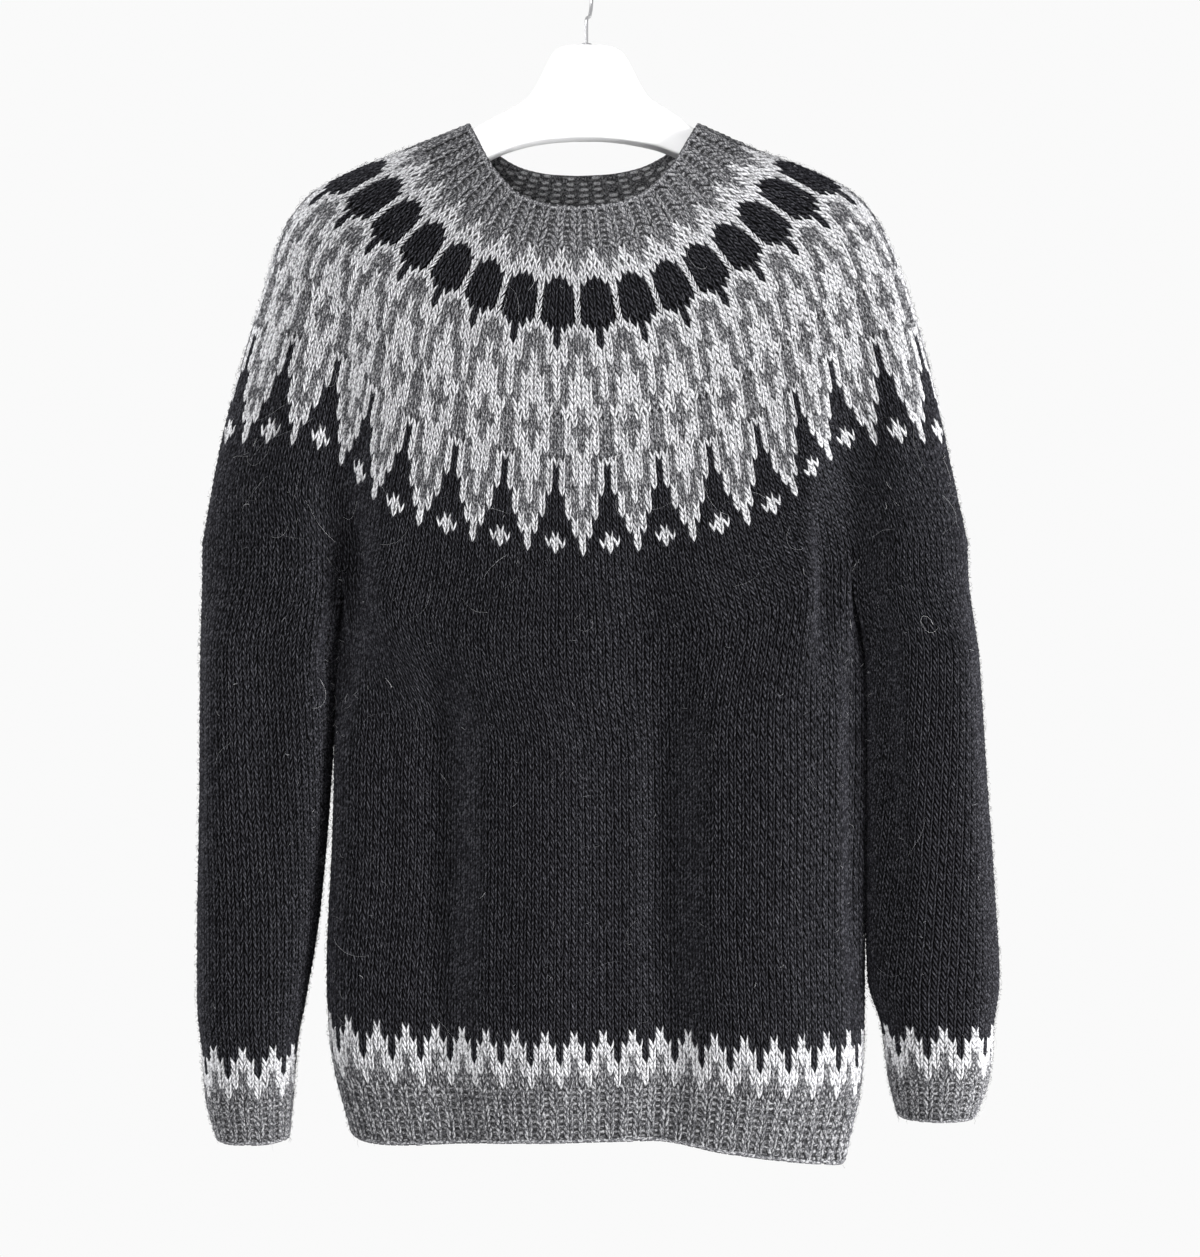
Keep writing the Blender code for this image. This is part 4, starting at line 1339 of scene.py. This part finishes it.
class Finish(Nodes):
    """One material, which its Principled shader wears."""

    def __init__(self, name):
        self.material = bpy.data.materials.new(name)
        super().__init__(self.material)
        self.shader = self.tree.nodes["Principled BSDF"]

    def wear(self, **sockets):
        for name, value in sockets.items():
            self.join(value, self.shader.inputs[name.replace("_", " ").title()])

    def place(self, stretch):
        """Object coordinates, drawn out along the yarn."""
        place = self.node("TexCoord", output=3)
        return self.node("VectorMath", {"operation": "MULTIPLY"}, [place, stretch])

    def grain(self, place, scale, detail):
        return self.node("TexNoise", inputs={"Vector": place, "Scale": scale, "Detail": detail})

    def bumps(self, strength, distance, height):
        inputs = {"Strength": strength, "Distance": distance, "Height": height}
        return self.node("Bump", inputs=inputs)


# Stops and greys are the tones of the fibres, and coolness the blue in each.
# Painted gap shade is painted shade: how far the wool's colour is darkened in the gaps
# beside its crest, where shade falls. Crest from and crest to are the crowns between which
# this painted shade fades out, so that from crest to the wool has its full tone, and
# fineness is the scale of its fibres.
Yarn = namedtuple(
    "Yarn",
    "name stops greys coolness gap_shade crest_from crest_to fineness curls relief gloss",
    defaults=(0.0, 0.7, 1.3, 0.5, 0.5, 0.05),
)
FIBRE_DRAWN = (0.75, 0.26, 1.0)
FIBRE_DEPTH = 0.0004
CURL_SCALE = 750


def wool(yarn):
    """Loosely spun wool, in which fibres of several greys lie side by side."""
    finish = Finish(yarn.name)
    fibre = finish.node("Attribute", {"attribute_name": "fibre"}, output=1)
    crown = finish.node("Attribute", {"attribute_name": "crown"}, output=2)
    drawn = finish.node("VectorMath", {"operation": "MULTIPLY"}, [fibre, FIBRE_DRAWN])
    fibres = finish.grain(drawn, yarn.fineness, 1.5)
    curls = finish.grain(finish.place((1.0, 1.0, 1.0)), CURL_SCALE, 0.5)
    mixed = fibres + (curls - 0.5) * yarn.curls
    tones = [(tone, tone, tone * (1 + cool)) for tone, cool in zip(yarn.greys, yarn.coolness)]
    colour = finish.node("ValToRGB", {"stops": list(zip(yarn.stops, tones))}, [mixed])
    # Painted shade: the colour is scaled down where the crown is low, in the gaps beside each leg's
    # crest, at its tips and on the ground under the stitches
    shading = {
        "Value": crown,
        "From Min": yarn.crest_from,
        "From Max": yarn.crest_to,
        "To Min": yarn.gap_shade,
    }
    depth = finish.node("MapRange", {"interpolation_type": "SMOOTHSTEP"}, shading)
    finish.wear(
        base_color=finish.node("VectorMath", {"operation": "SCALE"}, {0: colour, 3: depth}),
        roughness=0.62,
        normal=finish.bumps(yarn.relief, FIBRE_DEPTH, fibres),
    )
    finish.shader.inputs["Specular IOR Level"].default_value = yarn.gloss
    return finish.material


black_wool = wool(
    Yarn(
        "black_wool",
        (0.34, 0.5, 0.68),
        (0.0075, 0.0205, 0.065),
        (0.2, 0.2, 0.14),
        gap_shade=0.06,
        crest_from=0.15,
        crest_to=1.0,
        fineness=1.7,
        curls=0.1,
        relief=0.4,
        gloss=0.03,
    )
)
mid_grey_wool = wool(
    Yarn("mid_grey_wool", (0.36, 0.5, 0.66), (0.045, 0.115, 0.32), (0.1, 0.06, 0.03), 0.3)
)
light_grey_wool = wool(
    Yarn("light_grey_wool", (0.34, 0.48, 0.64), (0.22, 0.44, 0.62), (0.03, 0.03, 0.03), 0.2)
)
YARN_FINISHES = (black_wool, mid_grey_wool, light_grey_wool, light_grey_wool)


def smooth_plastic():
    finish = Finish("white_moulded_plastic")
    flow = finish.grain(finish.place((1.0, 1.0, 1.0)), 45, 2.0)
    tone = finish.node(
        "ValToRGB", {"stops": ((0.3, (0.78, 0.78, 0.785)), (0.7, (0.82, 0.82, 0.825)))}, [flow]
    )
    finish.wear(
        base_color=tone,
        roughness=0.28 + flow * 0.1,
        normal=finish.bumps(0.15, 0.0004, flow),
    )
    finish.shader.inputs["Subsurface Weight"].default_value = 0.6
    finish.shader.inputs["Subsurface Radius"].default_value = (1.0, 1.0, 1.0)
    finish.shader.inputs["Subsurface Scale"].default_value = 0.012
    return finish.material


def bright_steel():
    finish = Finish("bright_steel")
    drawn = finish.grain(finish.place((1.0, 1.0, 0.1)), 1500, 2.0)
    finish.wear(
        base_color=(0.4, 0.4, 0.41, 1),
        metallic=1.0,
        roughness=0.2 + drawn * 0.16,
        normal=finish.bumps(0.2, 0.0001, drawn),
    )
    return finish.material


white_plastic = smooth_plastic()
steel = bright_steel()


def studio():
    """The camera at the photograph's place, a pale floor and soft light."""
    camera = bpy.data.cameras.new("camera")
    camera.sensor_fit = "HORIZONTAL"
    camera.sensor_width = SENSOR
    camera.lens = CAMERA_LENS
    seat = placed("camera", camera)
    seat.location = [value * MM for value in CAMERA_PLACE]
    seat.rotation_euler = (radians(90), 0, 0)
    bpy.context.scene.camera = seat

    world = bpy.data.worlds.new("studio")
    room = Nodes(world)
    surround = room.tree.nodes["Background"].inputs
    surround["Color"].default_value = (*WALL_WHITE, 1)
    seen = [room.node("LightPath", output=ray) for ray in ("Is Camera Ray", "Is Glossy Ray")]
    either = room.node("Math", {"operation": "MAXIMUM"}, seen)
    strengths = {"Value": either, "To Min": ROOM_LIGHT, "To Max": 1.0}
    room.join(room.node("MapRange", inputs=strengths), surround["Strength"])
    bpy.context.scene.world = world
    bpy.context.scene.view_settings.view_transform = "Standard"

    turn = np.arange(FLOOR_SIDES) * 2 * pi / FLOOR_SIDES
    rim = FLOOR_RADIUS * np.stack([np.cos(turn), np.sin(turn), 0 * turn], axis=1)
    rim[:, 2] = FLOOR_HEIGHT
    mesh = bpy.data.meshes.new("floor")
    mesh.from_pydata((rim * MM).tolist(), [], [list(range(FLOOR_SIDES))])
    pale = Finish("pale_floor")
    pale.wear(base_color=(0.9, 0.9, 0.9, 1), roughness=0.9)
    mesh.materials.append(pale.material)
    placed("floor", mesh)

    for lamp in LAMPS:
        light = bpy.data.lights.new(lamp.name, "AREA")
        light.shape = "DISK"
        light.size = lamp.size
        light.energy = lamp.power
        stand = placed(lamp.name, light)
        stand.location = [value * MM for value in lamp.place]
        aim = Vector(LAMP_AIM) - Vector(lamp.place)
        stand.rotation_euler = aim.to_track_quat("-Z", "Y").to_euler()


def half_of(cloth, front):
    """Tells which stitches lie on the front half of a cloth, or on the back half."""
    quarter = cloth.stitches / 4
    return lambda stitch: ((stitch >= quarter) & (stitch < 3 * quarter)) == front


def every_row(first, last):
    return np.arange(first, last + 1.0)


def ground_rows(chart_row, last):
    """Every second row of a ground, and every row where it is patterned."""
    return np.append(np.arange(0.0, chart_row, 2), every_row(chart_row, last))


def rib_pieces(node, cloth, rib, seed, inside=False):
    """The ground and the ribs of the neckband, the hem or a cuff."""
    rows = every_row(*rib.rows)
    name = node + "_cloth"
    ground = shell_piece(name, cloth, rows, rib.columns, MID_GREY, inner_every=rib.inner_every)
    return ground, rib_piece(node + "_stitches", cloth, rib, seed, inside), node


def sleeve_pieces(side, cloth, seed):
    """The ground and the stitches of a sleeve and of its cuff."""
    sleeve = "sleeve_" + side
    rounds = sleeve_rounds()
    rows = ground_rows(SLEEVE_CHART_ROW, SLEEVE_ROWS)
    ground = shell_piece(sleeve + "_cloth", cloth, rows, 2 * SLEEVE_STITCHES, BLACK, rounds)
    stitches = stitch_piece(sleeve + "_stitches", cloth, rounds, seed)
    return (ground, stitches, sleeve), rib_pieces("cuff_" + side, cloth, CUFF_RIB, seed + 1)


studio()

yoke = yoke_cloth()
body = body_cloth()
left_sleeve = sleeve_cloth(True)
right_sleeve = sleeve_cloth(False)
yoke_worked = yoke_rounds()
body_worked = body_rounds()
yoke_rows = every_row(NECKBAND_ROWS, YOKE_ROWS)
body_rows = ground_rows(BODY_CHART_ROW, BODY_ROWS)

# Each knitted piece: its ground, its stitches and its node
made = [
    rib_pieces("neckband", yoke, NECK_RIB, 11, inside=True),
    (
        shell_piece("yoke_cloth", yoke, yoke_rows, YOKE_STITCHES, MID_GREY, yoke_worked),
        stitch_piece("yoke_front_stitches", yoke, yoke_worked, 12, half_of(yoke, True)),
        "yoke",
    ),
    (
        shell_piece("body_cloth", body, body_rows, BODY_STITCHES, BLACK, body_worked),
        stitch_piece("body_front_stitches", body, body_worked, 14, half_of(body, True)),
        "body",
    ),
    rib_pieces("hem_rib", body, HEM_RIB, 16),
    *sleeve_pieces("left", left_sleeve, 17),
    *sleeve_pieces("right", right_sleeve, 19),
]
backs = {
    "yoke": stitch_piece("yoke_back_stitches", yoke, yoke_worked, 13, half_of(yoke, False)),
    "body": stitch_piece("body_back_stitches", body, body_worked, 15, half_of(body, False)),
}
for ground, stitches, node in made:
    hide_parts(node)
    for piece in (ground, stitches):
        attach(piece, "root")
for node, piece in backs.items():
    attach(piece, "root")

# Rows that carry hairs, and how many long and short ones
chance = np.random.default_rng(31)
hairy = (
    (yoke, (NECKBAND_ROWS, YOKE_ROWS), 330, 4700),
    (body, (0, HEM_ROWS), 55, 4100),
    (left_sleeve, (0, CUFF_ROWS), 25, 2600),
    (right_sleeve, (0, CUFF_ROWS), 25, 2600),
)
long_tufts, short_tufts = [], []
for cloth, rows, few, many in hairy:
    long_tufts.append(tuft(LONG_HAIR, cloth, chance, few, rows))
    short_tufts.append(tuft(SHORT_HAIR, cloth, chance, many, rows, SIDE_FUZZ_SHARE))
hairs = [
    hair_piece("long_hairs", LONG_HAIR, long_tufts, chance),
    hair_piece("short_fuzz", SHORT_HAIR, short_tufts, chance),
]
for piece in hairs:
    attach(piece, "root")

hanger = solid_piece("hanger_body", [hanger_rings()], white_plastic)
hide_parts("hanger")
hook = solid_piece("hanger_wire_hook", [hook_rings(), collar_rings()], steel)
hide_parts("hanger_hook")
for piece in (hanger, hook):
    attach(piece, "root")

# Each tube as it was knitted: its width all round, its length and its flat area
for ground, stitches, node in made:
    cut = CUTS[node]
    wide, narrow = cut.widest * STITCH_WIDTH * MM, cut.narrowest * STITCH_WIDTH * MM
    long = cut.rows * ROW_HEIGHT * MM
    on_it = [stitches]
    if node in backs:
        on_it.append(backs[node])
    if node == "yoke":
        on_it += hairs
    hanger if cut.hangs_from == "hanger" else cut.hangs_from + "_cloth"
    (wide + narrow) / 2 * long
